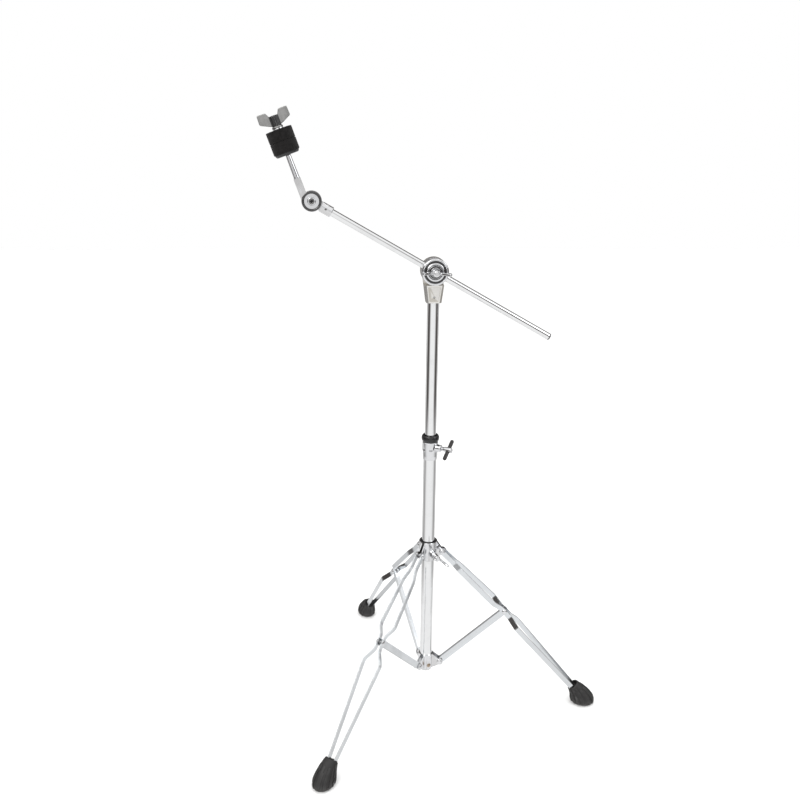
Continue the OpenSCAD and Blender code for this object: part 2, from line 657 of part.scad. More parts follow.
module boom_liner() {
    color([0.1, 0.1, 0.1]) boom_frame() translate([-jaw_r + 1, 0, 0]) rotate([0, 90, 0])
        ring(liner_r, boom_r + run_gap, 2 * jaw_r - 2);
}
// ---------- boom ----------
module boom_rod() {
    color([0.88, 0.89, 0.9]) boom_frame() translate([-boom_out, 0, 0]) rotate([0, 90, 0])
        ring(boom_r, boom_r - boom_wall, boom_out + boom_back);
}
module boom_end_cap() {
    color([0.06, 0.06, 0.06]) boom_frame() translate([boom_back, 0, 0]) rotate([0, 90, 0])
        rotate_extrude() polygon([[0, -9], [boom_r - boom_wall - fix_gap, -9],
            [boom_r - boom_wall - fix_gap, 0.05], [boom_r, 0.05], [boom_r, 1.4],
            [boom_r - 0.8, 2.2], [0, 2.2]]);
}
// The socket's length runs from the small tilter's disc back along the boom.
module boom_socket() {
    reach = disc_r + 1.2;
    color([0.66, 0.67, 0.68]) boom_frame() translate([-disc_at, 0, 0]) difference() {
        union() {
            cross_cyl(disc_r, 0.15, half_t);
            translate([reach, 0, 0]) rotate([0, 90, 0]) cylinder(r = socket_r, h = socket_len - 1);
            translate([reach + socket_len - 1, 0, 0]) rotate([0, 90, 0])
                cylinder(r1 = socket_r, r2 = socket_r - 1, h = 1);
            translate([disc_r - 6, 0.15, -socket_r + 1]) cube([8, half_t - 0.6, 2 * socket_r - 2]);
        }
        translate([disc_at - boom_out - 0.05, 0, 0]) rotate([0, 90, 0])
            cylinder(r = boom_r + fix_gap, h = 60);
        cross_cyl(3 + fix_gap, -30, 30);
        translate([reach + 9, 0, 0]) cross_cyl(2 + fix_gap, -30, 0);
    }
}
module socket_screw() {
    color([0.25, 0.25, 0.25]) boom_frame() translate([-disc_at + disc_r + 10.2, 0, 0])
        difference() {
            cross_cyl(2, -socket_r + 0.1, -boom_r - fix_gap);
            translate([0, -socket_r + 1.6, 0]) rotate([90, 0, 0]) cylinder(r = 1.1, h = 3, $fn = 6);
        }
}
// ---------- small tilter and cymbal post ----------
// Local frame: origin on the small tilter's axis, Z along the post, the post at X = -post_off.
module arm_frame() {
    place() translate([disc_x, boom_y, disc_z]) rotate([0, -post_lean, 0]) children();
}
module cymbal_arm() {
    color([0.7, 0.71, 0.72]) arm_frame() difference() {
        union() {
            cross_cyl(disc_r, -half_t, -0.15);
            translate([-post_off - 6, -half_t, 2]) cube([12, half_t - 0.15, arm_len - 2]);
            translate([-post_off, 0, arm_len - 14]) cylinder(r = 6, h = 14);
        }
        cross_cyl(3 + fix_gap, -30, 30);
        translate([-post_off, 0, arm_len - 13]) cylinder(r = thread_r + fix_gap, h = 20);
        translate([-30, -0.15, -30]) cube([60, 30, 30 + disc_r + 3]);
        translate([-post_off, -half_t - 1, disc_r + 7]) rotate([-90, 0, 0]) cylinder(r = 2.4, h = 2.4);
    }
}
module cymbal_post() {
    color([0.78, 0.79, 0.8]) arm_frame() translate([-post_off, 0, 0]) union() {
        translate([0, 0, arm_len - 12.9]) cylinder(r = thread_r, h = 13.1);
        translate([0, 0, arm_len + 0.05]) cylinder(r1 = 5.3, r2 = 4.6, h = seat_at - arm_len - 0.1);
        translate([0, 0, seat_at - 0.1]) cylinder(r = thread_r, h = nut_z0 + nut_hub_tall - 1 - seat_at);
    }
}
module seat_cup() {
    color([0.05, 0.05, 0.05]) arm_frame() translate([-post_off, 0, seat_at]) difference() {
        rotate_extrude() polygon([[sleeve_ir, 0], [felt_r - 4, 0], [felt_r - 1.6, cup_t - 1.2],
            [felt_r - 1.6, cup_t], [sleeve_r, cup_t], [sleeve_r, cup_t + 2 * felt_t - 3],
            [sleeve_ir, cup_t + 2 * felt_t - 3]]);
    }
}
module felt(z, t, r) {
    color([0.03, 0.03, 0.03]) arm_frame() translate([-post_off, 0, z]) rotate_extrude() polygon([
        [sleeve_r + fix_gap, 0.05], [r - 0.6, 0.05], [r, 0.65], [r, t - 0.65],
        [r - 0.6, t - 0.05], [sleeve_r + fix_gap, t - 0.05]]);
}
module felt_lower() {
    felt(felt_z0, felt_t, felt_r);
}
module felt_upper() {
    felt(felt_mid, felt_t, felt_r);
}
module felt_washer() {
    color([0.8, 0.8, 0.8]) arm_frame() translate([-post_off, 0, felt_top + 0.05])
        ring(9.4, thread_r + 0.15, felt_washer_t);
}
module disc_cap() {
    y0 = half_t + fix_gap;
    color([0.8, 0.81, 0.82]) arm_frame() difference() {
        rotate([90, 0, 0]) rotate_extrude() polygon([
            [0, y0], [disc_r, y0], [disc_r, y0 + cap_t - 1], [disc_r - 1, y0 + cap_t],
            [disc_r - 3.4, y0 + cap_t], [disc_r - 4.2, y0 + 1.6], [7.2, y0 + 1.6],
            [6.6, y0 + 2.6], [0, y0 + 2.6]]);
        cross_cyl(3 + fix_gap, -60, 0);
        for (k = [0, 180]) rotate([0, k + 34, 0]) translate([disc_r - 4.4, -y0 - cap_t - 1, -1.5])
            cube([8, cap_t - 0.6, 3]);
    }
}
module disc_bolt() {
    y0 = half_t + 2 * fix_gap + 2.6;
    color([0.5, 0.5, 0.5]) arm_frame() difference() {
        union() {
            cross_cyl(3, -y0 - 0.5, half_t + 5.6);
            cross_cyl(5, -y0 - 3.6, -y0);
        }
        translate([0, -y0 - 1.4, 0]) rotate([90, 0, 0]) cylinder(r = 2.6, h = 6, $fn = 6);
    }
}
module disc_nut() {
    color([0.75, 0.76, 0.77]) arm_frame() difference() {
        translate([0, half_t + free_gap + 5, 0]) rotate([90, 0, 0]) cylinder(r = 6.2, h = 5, $fn = 6);
        cross_cyl(3 + fix_gap, 0, 30);
    }
}
module cymbal_wing_nut() {
    color([0.45, 0.45, 0.44]) arm_frame() translate([-post_off, 0, nut_z0]) difference() {
        union() {
            cylinder(r1 = 9.9, r2 = 8.2, h = 3);
            cylinder(r = 7.4, h = nut_hub_tall - 1);
            translate([0, 0, nut_hub_tall - 1]) cylinder(r1 = 7.4, r2 = 6.4, h = 1);
            for (k = [0 : 11]) rotate([0, 0, 30 * k]) translate([7.1, 0, 2])
                cylinder(r = 0.9, h = nut_hub_tall - 4);
            wing_pair([[5, 4], [11, 5], [nut_span / 2, 12.5], [nut_span / 2 - 0.8, 28.5],
                [11, 28.5], [7, 20], [5, 20]], 4.6);
        }
        translate([0, 0, -1]) cylinder(r = thread_r + run_gap, h = nut_hub_tall + 0.2);
    }
}

lower_tube();
tube_plug();
hub_plate(1);  // hub_plate_1
hub_plate(2);  // hub_plate_2
hub_plate(3);  // hub_plate_3
hub_rivets();
hub_pins();
clamp_shell();
clamp_ring();
brace(1);  // brace_1
brace(2);  // brace_2
brace(3);  // brace_3
strip(1, 1);  // leg_1_strip_a
strip(1, -1);  // leg_1_strip_b
leg_pin(1);  // leg_1_pin
boot(1);  // leg_1_boot
strip(2, 1);  // leg_2_strip_a
strip(2, -1);  // leg_2_strip_b
leg_pin(2);  // leg_2_pin
boot(2);  // leg_2_boot
strip(3, 1);  // leg_3_strip_a
strip(3, -1);  // leg_3_strip_b
leg_pin(3);  // leg_3_pin
boot(3);  // leg_3_boot
collar_bush();
collar_plate(1);  // collar_plate_1
collar_plate(2);  // collar_plate_2
collar_plate(3);  // collar_plate_3
collar_pins();
collar_nut();
collar_screw();
clamp_screw();
clamp_bar();
guide_ring();
upper_tube();
tilter_body();
tilter_set_screw();
jaw_rear();
jaw_front();
tilter_bolt();
tilter_rear_nut();
tilter_washer();
tilter_wing_nut();
boom_liner();
boom_rod();
boom_end_cap();
boom_socket();
socket_screw();
cymbal_arm();
cymbal_post();
seat_cup();
felt_lower();
felt_upper();
felt_washer();
disc_cap();
disc_bolt();
disc_nut();
cymbal_wing_nut();
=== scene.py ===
"""Fine shapes, finishes and studio of a cymbal boom stand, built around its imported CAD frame.

Lengths inside the builders are millimetres. The bench helpers turn them into metres.
"""

import json
import math

import bpy
from mathutils import Matrix, Vector


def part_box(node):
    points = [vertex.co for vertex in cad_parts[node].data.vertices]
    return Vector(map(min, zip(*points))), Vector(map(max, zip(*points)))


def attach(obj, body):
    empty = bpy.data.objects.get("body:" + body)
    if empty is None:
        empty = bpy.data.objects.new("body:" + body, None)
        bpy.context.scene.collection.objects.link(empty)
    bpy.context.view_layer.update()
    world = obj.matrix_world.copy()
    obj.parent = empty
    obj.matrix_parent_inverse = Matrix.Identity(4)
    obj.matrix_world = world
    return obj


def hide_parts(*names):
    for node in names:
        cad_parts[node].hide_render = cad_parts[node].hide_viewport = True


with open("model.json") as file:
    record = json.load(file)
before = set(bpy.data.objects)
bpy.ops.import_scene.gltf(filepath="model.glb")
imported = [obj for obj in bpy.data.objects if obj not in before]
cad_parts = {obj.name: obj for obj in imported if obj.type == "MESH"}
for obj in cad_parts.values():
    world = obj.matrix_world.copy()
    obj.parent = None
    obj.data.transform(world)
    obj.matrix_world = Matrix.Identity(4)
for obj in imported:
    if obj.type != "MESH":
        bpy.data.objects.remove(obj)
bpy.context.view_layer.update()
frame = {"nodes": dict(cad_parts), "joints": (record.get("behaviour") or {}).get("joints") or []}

bl_info = {
    "name": "Cymbal Boom Stand",
    "version": (1, 0, 0),
    "blender": (4, 5, 0),
    "location": "View3D > Sidebar > Stand",
    "description": "Builds the pieces, finishes and studio of a cymbal boom stand",
    "category": "Add Mesh",
}

MM = 0.001
MM_PER_M = 1000
UP = Vector((0, 0, 1))
# Points nearer than this become one, in metres.
DRAWN_MERGE = 0.000001  # in a line just drawn
TRACED_MERGE = 0.000002  # in a copy of a CAD node
MERGE = 0.000008  # in a finished shape
SLIVER = 0.00002  # where a cut is mended
JOINTS = {joint["name"]: joint for joint in frame["joints"]}


def pivot(name):
    """Where a joint's axis passes, in the frame's metres."""
    return Vector(JOINTS[name]["pos_m"])


# ---------- places worked out from the frame's joints ----------
TILT = pivot("boom_tilt")
POLE = Matrix.Translation((TILT.x, TILT.y, 0))
HEAD = Matrix.Translation(TILT)
BOOM_AXIS = Vector(JOINTS["boom_roll"]["axis"])
BOOM_SLOPE = math.atan2(-BOOM_AXIS.z, BOOM_AXIS.x)
BOOM = Matrix.Translation(pivot("boom_roll")) @ Matrix.Rotation(BOOM_SLOPE, 4, "Y")
POST_AXIS = Vector(JOINTS["cymbal_wing_nut_turn"]["axis"])
ARM = Matrix.Translation(pivot("cymbal_tilt")) @ Matrix.Rotation(
    -math.atan2(-POST_AXIS.x, POST_AXIS.z), 4, "Y")
DISC_AT = (pivot("cymbal_tilt") - pivot("boom_roll")).length / MM

HUB_PIVOTS = [pivot("tripod_fold"), pivot("brace_2_fold"), pivot("brace_3_fold")]
LEG_JOINT = pivot("leg_1_fold")
LEG_TURNS = [math.atan2(p.y - TILT.y, p.x - TILT.x) for p in HUB_PIVOTS]
PIVOT_R = (HUB_PIVOTS[0] - TILT).to_2d().length / MM
JOINT_R = (LEG_JOINT - TILT).to_2d().length / MM
HUB_H = HUB_PIVOTS[0].z / MM
JOINT_H = LEG_JOINT.z / MM
COLLAR_H = pivot("collar_ride").z / MM
ARM_LINK = math.hypot(JOINT_R - PIVOT_R, COLLAR_H - JOINT_H)
UPPER_TURN = math.atan2(COLLAR_H - JOINT_H, JOINT_R - PIVOT_R)


def leg_frame(i):
    """Leg i's own frame: X runs outwards from the column's axis."""
    return POLE @ Matrix.Rotation(LEG_TURNS[i - 1], 4, "Z")


def at(x, y, z):
    """A shift in millimetres."""
    return Matrix.Translation(Vector((x, y, z)) * MM)


def turn(degrees, axis):
    """A right-handed turn about a named axis."""
    return Matrix.Rotation(math.radians(degrees), 4, axis)


def screw_frame(joint):
    """A frame whose Z runs along a screw joint's axis, away from the column, X downwards."""
    axis = Vector(JOINTS[joint]["axis"])
    height = pivot(joint).z
    return Matrix.Translation((TILT.x, TILT.y, height)) @ Matrix(
        (-UP, UP.cross(axis), axis)).transposed().to_4x4()


# ---------- bench: drawing, turning, pressing, cutting ----------
def clear():
    """Leave edit mode with nothing selected."""
    if bpy.context.mode != "OBJECT":
        bpy.ops.object.mode_set(mode="OBJECT")
    bpy.ops.object.select_all(action="DESELECT")


def take(piece):
    """Make one piece the active and only selected one."""
    clear()
    piece.select_set(True)
    bpy.context.view_layer.objects.active = piece
    return piece


def edit(piece, mode="VERT"):
    """Open a piece in edit mode with nothing selected."""
    take(piece)
    bpy.ops.object.mode_set(mode="EDIT")
    bpy.ops.mesh.select_mode(type=mode)
    bpy.ops.mesh.select_all(action="DESELECT")


def close_up():
    """Merge doubles, point the faces outwards and leave edit mode."""
    bpy.ops.mesh.select_all(action="SELECT")
    bpy.ops.mesh.remove_doubles(threshold=MERGE)
    bpy.ops.mesh.normals_make_consistent(inside=False)
    bpy.ops.object.mode_set(mode="OBJECT")
    return bpy.context.object


def draw(name, points, closed=False):
    """Draw a line from point to point, in millimetres, and stay in edit mode."""
    clear()
    line = [Vector(p) * MM for p in points]
    if closed:
        line.append(line[0])
    bpy.ops.mesh.primitive_plane_add(size=MM, location=line[0])
    piece = bpy.context.object
    piece.name = name
    bpy.ops.object.mode_set(mode="EDIT")
    bpy.ops.mesh.select_mode(type="VERT")
    bpy.ops.mesh.select_all(action="SELECT")
    bpy.ops.mesh.merge(type="CENTER")
    for here, there in zip(line, line[1:]):
        bpy.ops.mesh.extrude_vertices_move(TRANSFORM_OT_translate={"value": there - here})
    bpy.ops.mesh.select_all(action="SELECT")
    bpy.ops.mesh.remove_doubles(threshold=DRAWN_MERGE)
    return piece


def turned(name, profile, sides=96, closed=True):
    """A part turned on a lathe about Z, from its (radius, height) profile."""
    piece = draw(name, [(r, 0, z) for r, z in profile], closed)
    bpy.ops.mesh.spin(steps=sides, angle=math.tau, center=(0, 0, 0), axis=(0, 0, 1))
    close_up()
    return piece


def blank(name, outline, thickness):
    """A flat blank drawn in XZ, centred on Y, with its thickness along Y."""
    piece = draw(name, [(x, -thickness / 2, z) for x, z in outline], closed=True)
    bpy.ops.mesh.edge_face_add()
    bpy.ops.mesh.extrude_region_move(
        TRANSFORM_OT_translate={"value": (0, thickness * MM, 0)})
    close_up()
    return piece


def block(name, low, high):
    """A squared block between two corners."""
    clear()
    size = [b - a for a, b in zip(low, high)]
    middle = [(a + b) / 2 for a, b in zip(low, high)]
    bpy.ops.mesh.primitive_cube_add(size=MM, location=Vector(middle) * MM, scale=size)
    bpy.context.object.name = name
    return bpy.context.object


def rod(name, radius, low, high, axis="Z", sides=64, tip=None):
    """A round bar or cutter between two heights on an axis, tapered if it has a tip."""
    clear()
    spin = {"X": (0, math.pi / 2, 0), "Y": (-math.pi / 2, 0, 0), "Z": (0, 0, 0)}[axis]
    middle = Vector([(low + high) / 2 if a == axis else 0 for a in "XYZ"]) * MM
    bpy.ops.mesh.primitive_cone_add(
        vertices=sides, radius1=radius * MM, radius2=(radius if tip is None else tip) * MM,
        depth=(high - low) * MM, location=middle, rotation=spin)
    bpy.context.object.name = name
    return bpy.context.object


def settle(piece, place):
    """Move a piece to its place and leave that place in its mesh."""
    take(piece)
    piece.matrix_world = place @ piece.matrix_world
    bpy.ops.object.transform_apply(location=True, rotation=True, scale=True)
    if place.determinant() < 0:
        edit(piece)
        close_up()
    return piece


def finish_modifier(piece, kind, **settings):
    """Add one modifier with its settings and apply it."""
    take(piece)
    modifier = piece.modifiers.new(kind.title(), kind)
    for name, value in settings.items():
        setattr(modifier, name, value)
    bpy.ops.object.modifier_apply(modifier=modifier.name)
    return piece


def join_solid(piece, other, operation="UNION"):
    """Weld another solid on, or cut it out."""
    finish_modifier(piece, "BOOLEAN", object=other, operation=operation, solver="EXACT")
    bpy.data.objects.remove(other)
    return piece


def mend(piece, gap=SLIVER):
    """Close the slivers that a cut can leave where two surfaces nearly touch."""
    edit(piece)
    bpy.ops.mesh.select_all(action="SELECT")
    bpy.ops.mesh.remove_doubles(threshold=gap)
    bpy.ops.mesh.dissolve_degenerate(threshold=gap)
    bpy.ops.mesh.delete_loose(use_verts=True, use_edges=True, use_faces=False)
    bpy.ops.mesh.select_all(action="DESELECT")
    bpy.ops.mesh.select_non_manifold()
    bpy.ops.mesh.fill_holes(sides=0)
    bpy.ops.mesh.select_all(action="SELECT")
    bpy.ops.mesh.normals_make_consistent(inside=False)
    bpy.ops.object.mode_set(mode="OBJECT")
    return piece


def cut(piece, *cutters):
    """Cut one or more solids out of a piece."""
    for cutter in cutters:
        mend(join_solid(piece, cutter, "DIFFERENCE"))
    return piece


def weld(piece, *others):
    """Weld one or more solids onto a piece."""
    for other in others:
        mend(join_solid(piece, other))
    return piece


def gather(name, pieces):
    """Join several loose solids into one piece."""
    take(pieces[0])
    for piece in pieces:
        piece.select_set(True)
    bpy.ops.object.join()
    bpy.context.object.name = name
    return bpy.context.object


def twin(piece, name):
    """A copy of a piece with its own mesh."""
    take(piece)
    bpy.ops.object.duplicate(linked=False)
    bpy.context.object.name = name
    return bpy.context.object


def shade_below(piece, angle):
    """Shade a piece smooth wherever its faces meet below an angle."""
    take(piece)
    bpy.ops.object.shade_smooth_by_angle(angle=math.radians(angle))
    return piece


def smooth(piece, angle=40):
    """Shade smooth below an angle, with flat faces kept flat in reflections."""
    shade_below(piece, angle)
    finish_modifier(piece, "WEIGHTED_NORMAL", keep_sharp=True, weight=50)
    return piece


def soften(piece, width, segments=3, angle=34):
    """Round a piece's sharp edges and shade it."""
    finish_modifier(piece, "BEVEL", width=width * MM, segments=segments,
                    limit_method="ANGLE", angle_limit=math.radians(angle),
                    use_clamp_overlap=True, miter_outer="MITER_ARC")
    return smooth(piece)


def cast(piece, grain, rounds=8):
    """Give a welded shape the filleted edges of a casting."""
    finish_modifier(piece, "REMESH", mode="VOXEL", voxel_size=grain * MM,
                    use_smooth_shade=True)
    finish_modifier(piece, "SMOOTH", factor=0.5, iterations=rounds)
    take(piece)
    bpy.ops.object.shade_smooth()
    return piece


def traced(node, name, width, segments=3):
    """A merged copy of a CAD node's mesh with its sharp edges rounded."""
    piece = twin(frame["nodes"][node], name)
    for key in [k for k in piece.keys() if k.startswith("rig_")]:
        del piece[key]
    piece.parent = None
    bpy.ops.mesh.customdata_custom_splitnormals_clear()
    bpy.ops.object.mode_set(mode="EDIT")
    bpy.ops.mesh.select_all(action="SELECT")
    bpy.ops.mesh.remove_doubles(threshold=TRACED_MERGE)
    bpy.ops.mesh.dissolve_limited(angle_limit=math.radians(0.6))
    bpy.ops.object.mode_set(mode="OBJECT")
    return soften(piece, width, segments)


def fit(piece, body, slot, *nodes, look=None):
    """Let a finished piece ride on its body, in its material slot, for its CAD nodes.

    A look is a finish of its own, where the slot's common one would not do.
    """
    clear()
    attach(piece, body)
    if nodes:
        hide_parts(*nodes)
    piece.data.materials.clear()
    piece.data.materials.append(finish_for(look or slot))
    return piece


def follow(node, craft, width, body, slot, segments=3):
    """Round a CAD node's edges, name the copy for how it is made, and fit it."""
    return fit(traced(node, f"{node}_{craft}", width, segments), body, slot, node)


def arc(radius, start, end, steps, centre=(0, 0)):
    """Points on an arc, its angles in degrees."""
    return [(centre[0] + radius * math.cos(math.radians(start + (end - start) * k / steps)),
             centre[1] + radius * math.sin(math.radians(start + (end - start) * k / steps)))
            for k in range(steps + 1)]


def eased(path, run, steps=6):
    """A line with each inner corner rounded over a run before and after it."""
    out = [path[0]]
    for before, here, after in zip(path, path[1:], path[2:]):
        enter = here + (before - here).normalized() * run
        leave = here + (after - here).normalized() * run
        for k in range(steps + 1):
            t = k / steps
            out.append(enter * (1 - t) ** 2 + here * (2 * t * (1 - t)) + leave * t ** 2)
    return out + [path[-1]]


# ---------- finishes: shader maths ----------
class Value:
    """A shader socket used in Python sums; each operator adds a Math node."""

    def __init__(self, finish, node, out=0):
        self.finish = finish
        self.node = node
        self.socket = None if out is None else node.outputs[out]

    def __add__(self, other):
        return self.finish.math("ADD", self, other)

    __radd__ = __add__

    def __sub__(self, other):
        return self.finish.math("SUBTRACT", self, other)

    def __rsub__(self, other):
        return self.finish.math("SUBTRACT", other, self)

    def __mul__(self, other):
        return self.finish.math("MULTIPLY", self, other)

    __rmul__ = __mul__

    def __truediv__(self, other):
        return self.finish.math("DIVIDE", self, other)

    def __rtruediv__(self, other):
        return self.finish.math("DIVIDE", other, self)

    def __pow__(self, other):
        return self.finish.math("POWER", self, other)

    def above(self, other):
        """The greater of the two."""
        return self.finish.math("MAXIMUM", self, other)

    def between(self, low, high):
        """0 under low, 1 over high, eased between them."""
        return self.finish.node("MapRange", {"interpolation_type": "SMOOTHSTEP"},
                                {"Value": self, "From Min": low, "From Max": high})


class Wiring:
    """Nodes and links being laid in one node tree."""

    def __init__(self, tree):
        self.tree = tree
        tree.nodes.clear()

    def feed(self, socket, value):
        if isinstance(value, Value):
            self.tree.links.new(value.socket, socket)
        else:
            socket.default_value = value

    def node(self, kind, settings=None, sockets=None, out=0):
        """Any node: its settings first, then its sockets' values or links."""
        node = self.tree.nodes.new("ShaderNode" + kind)
        for name, value in (settings or {}).items():
            if name == "stops":
                ramp = node.color_ramp
                while len(ramp.elements) < len(value):
                    ramp.elements.new(1.0)
                for element, (place, grey) in zip(ramp.elements, value):
                    element.position = place
                    element.color = (grey, grey, grey, 1)
            else:
                setattr(node, name, value)
        for name, value in (sockets or {}).items():
            self.feed(node.inputs[name], value)
        return Value(self, node, out)

    def math(self, operation, a, b):
        return self.node("Math", {"operation": operation}, {0: a, 1: b})

    def axes(self, where, names):
        """The named coordinates of a position."""
        return (self.node("SeparateXYZ", {}, {0: where}, out=axis) for axis in names)

    def blend(self, factor, a, b):
        """Mix two colours, each three numbers or a value."""
        a, b = (c if isinstance(c, Value) else (*c, 1) for c in (a, b))
        return self.node("Mix", {"data_type": "RGBA"}, {0: factor, 6: a, 7: b}, out=2)


class Finish(Wiring):
    """One material under construction."""

    def __init__(self, name, **shader):
        self.material = bpy.data.materials.new(name)
        self.material.use_nodes = True
        super().__init__(self.material.node_tree)
        self.shader = self.node("BsdfPrincipled").node
        self.node("OutputMaterial", {}, {"Surface": Value(self, self.shader)}, out=None)
        self.drive(**shader)

    def drive(self, **sockets):
        """Set or link the shader's own sockets; an underscore stands for a space."""
        for name, value in sockets.items():
            self.feed(self.shader.inputs[name.replace("_", " ")], value)
        return self.material

    def mapped(self, **sockets):
        """Object coordinates shifted, turned or stretched."""
        return self.node("Mapping", {"vector_type": "TEXTURE"}, {
            "Vector": self.node("TexCoord", out="Object"), **sockets})

    def place(self, stretch=(1, 1, 1), tilt=0.0):
        """Object coordinates, for a pattern stretched along its axes and turned about Y."""
        return self.mapped(Scale=stretch, Rotation=(0, tilt, 0))

    def noise(self, where, scale, detail=3.0, roughness=0.5, distortion=0.0):
        return self.node("TexNoise", {}, {
            "Vector": where, "Scale": scale, "Detail": detail, "Roughness": roughness,
            "Distortion": distortion})

    def cells(self, where, scale, feature="F1"):
        return self.node("TexVoronoi", {"feature": feature},
                         {"Vector": where, "Scale": scale}, out="Distance")

    def edges(self, low=0.51, high=0.56):
        """1 on a piece's outer edges, 0 on its flats."""
        point = self.node("NewGeometry", out="Pointiness")
        return point.between(low, high)

    def hollows(self, low=0.42, high=0.49):
        """1 in a piece's inner corners and grooves, 0 on its flats."""
        return 1 - self.node("NewGeometry", out="Pointiness").between(low, high)

    def rings(self, centre, *grooves):
        """1 inside each groove, given by its inner and outer radius in mm about a Y axis."""
        x, z = self.axes(self.mapped(Location=centre), "XZ")
        reach = (x * x + z * z) ** 0.5 * MM_PER_M
        blur = 0.3
        inside = 0.0
        for inner, outer in grooves:
            inside = inside + (reach.between(inner - blur, inner + blur)
                               * (1 - reach.between(outer - blur, outer + blur)))
        return inside

    def height(self):
        """How high a point is above the floor."""
        return self.node("SeparateXYZ", {}, {0: self.node("TexCoord", out="Object")}, out="Z")

    def bump(self, height, strength, distance=0.0004, under=None):
        sockets = {"Height": height, "Strength": strength, "Distance": distance}
        if under:
            sockets["Normal"] = under
        return self.node("Bump", {}, sockets)


def colour(name):
    """A colour a user can change, as three numbers."""
    return tuple(getattr(bpy.context.scene.stand_finishes, name))


def toned(tint, factor):
    """A colour made darker or lighter by a factor."""
    return tuple(c * factor for c in tint)


def wear():
    """How worn the finishes look, from 0 to 1."""
    return bpy.context.scene.stand_finishes.wear


def polished_chrome(name, tilt=0.0):
    """Drawn tube, polished and chromed: lengthwise polishing lines, haze and a few pits."""
    f = Finish(name, Metallic=1.0)
    lines = f.noise(f.place((1, 1, 160), tilt), 1500, 3, 0.6)
    haze = f.noise(f.place(tilt=tilt), 22, 5, 0.62, 0.4)
    film = haze.between(0.48, 0.72)
    pits = f.cells(f.place(tilt=tilt), 420).between(0.09, 0.02) * haze.between(0.5, 0.62)
    chrome = colour("chrome")
    shade = f.blend(film * 0.5, chrome, toned(chrome, 0.86))
    shade = f.blend(pits * wear(), shade, (0.3, 0.27, 0.24))
    rough = 0.035 + film * 0.05 + lines * 0.035 + pits * 0.3
    relief = f.bump(lines, 0.035, 0.00005)
    return f.drive(Base_Color=shade, Roughness=rough,
                   Normal=f.bump(haze, 0.04, 0.0002, relief))


def plated_strip(name):
    """Rolled steel strip, bright plated: rolling grain, faint ripples and rubbed edges."""
    f = Finish(name, Metallic=1.0)
    grain = f.noise(f.place(), 900, 3, 0.6)
    ripple = f.noise(f.place(), 42, 3, 0.5)
    film = f.noise(f.place(), 15, 5, 0.65).between(0.45, 0.7)
    rubbed = f.edges()
    strip = colour("strip")
    shade = f.blend(film * 0.45, strip, toned(strip, 0.84))
    shade = f.blend(rubbed * wear() * 0.6, shade, (0.55, 0.54, 0.53))
    rough = 0.1 + film * 0.07 + grain * 0.06 + rubbed * 0.12
    relief = f.bump(grain, 0.06, 0.00006)
    return f.drive(Base_Color=shade, Roughness=rough,
                   Normal=f.bump(ripple, 0.12, 0.0004, relief))


def plated_casting(name, centre=None, grooves=()):
    """Cast or pressed metal, bright plated: soft waviness, sand grain and rubbed edges.

    Turned grooves about a centre get painted shade, as every hollow does a little.
    """
    f = Finish(name, Metallic=1.0)
    wave = f.noise(f.place(), 130, 3, 0.55)
    grain = f.noise(f.place(), 2200, 2, 0.5)
    film = f.noise(f.place(), 48, 4, 0.6).between(0.46, 0.7)
    rubbed = f.edges(0.52, 0.6)
    casting = colour("casting")
    shade = f.blend(film * 0.5, casting, toned(casting, 0.8))
    shade = f.blend(rubbed * wear() * 0.5, shade, (0.5, 0.48, 0.46))
    # Painted shade in the hollows and, where given, in the turned grooves.
    painted_shade = f.hollows() * 0.75
    if grooves:
        painted_shade = painted_shade.above(f.rings(centre, *grooves) * 0.9)
    shade = f.blend(painted_shade, shade, (0.045, 0.043, 0.042))
    rough = 0.085 + film * 0.07 + grain * 0.05 + rubbed * 0.1 + painted_shade * 0.12
    relief = f.bump(grain, 0.03, 0.00004)
    return f.drive(Base_Color=shade, Roughness=rough,
                   Normal=f.bump(wave, 0.1, 0.0003, relief))


def satin_casting(name):
    """Die-cast neck with satin plating: fine blasted grain and brighter rubbed edges."""
    f = Finish(name, Metallic=1.0)
    blast = f.noise(f.place(), 1700, 4, 0.7)
    cloud = f.noise(f.place(), 60, 4, 0.6).between(0.4, 0.7)
    rubbed = f.edges(0.51, 0.57)
    satin = colour("satin")
    shade = f.blend(cloud * 0.5, satin, toned(satin, 0.83))
    shade = f.blend(rubbed * 0.7, shade, (0.92, 0.91, 0.89))
    rough = 0.3 + blast * 0.12 - rubbed * 0.14 + cloud * 0.05
    return f.drive(Base_Color=shade, Roughness=rough, Normal=f.bump(blast, 0.2, 0.00008))


def grey_casting(name):
    """Zinc wing nut with a dull grey finish: blasted grain, dark pores, bright rims, painted
    shade on the hub and in the hollows.
    """
    f = Finish(name, Metallic=1.0)
    blast = f.noise(f.place(), 1500, 4, 0.7)
    cloud = f.noise(f.place(), 110, 4, 0.6).between(0.38, 0.7)
    pores = f.cells(f.place(), 700).between(0.14, 0.05)
    rubbed = f.edges(0.52, 0.58)
    grey = colour("wing_nut")
    shade = f.blend(cloud * 0.6, grey, toned(grey, 0.62))
    shade = f.blend(rubbed * (0.1 + wear() * 0.2), shade, (0.5, 0.5, 0.49))
    shade = f.blend(pores * 0.5, shade, (0.05, 0.05, 0.05))
    # Painted shade on the hub between the wings: it is painted far darker than the wings.
    x, y = f.axes(f.mapped(Location=POST.translation, Rotation=POST.to_euler()), "XY")
    hub = 1 - ((x * x + y * y) ** 0.5 * MM_PER_M).between(8.0, 9.4)
    shade = f.blend(hub * 0.82, shade, (0.035, 0.035, 0.037))
    # Painted shade in the hollows between the ribs and the wings.
    shade = f.blend(f.hollows(0.45, 0.5) * 0.95, shade, (0.02, 0.02, 0.02))
    rough = 0.3 + blast * 0.14 - rubbed * 0.12
    return f.drive(Base_Color=shade, Roughness=rough,
                   Normal=f.bump(blast - pores, 0.3, 0.0001))


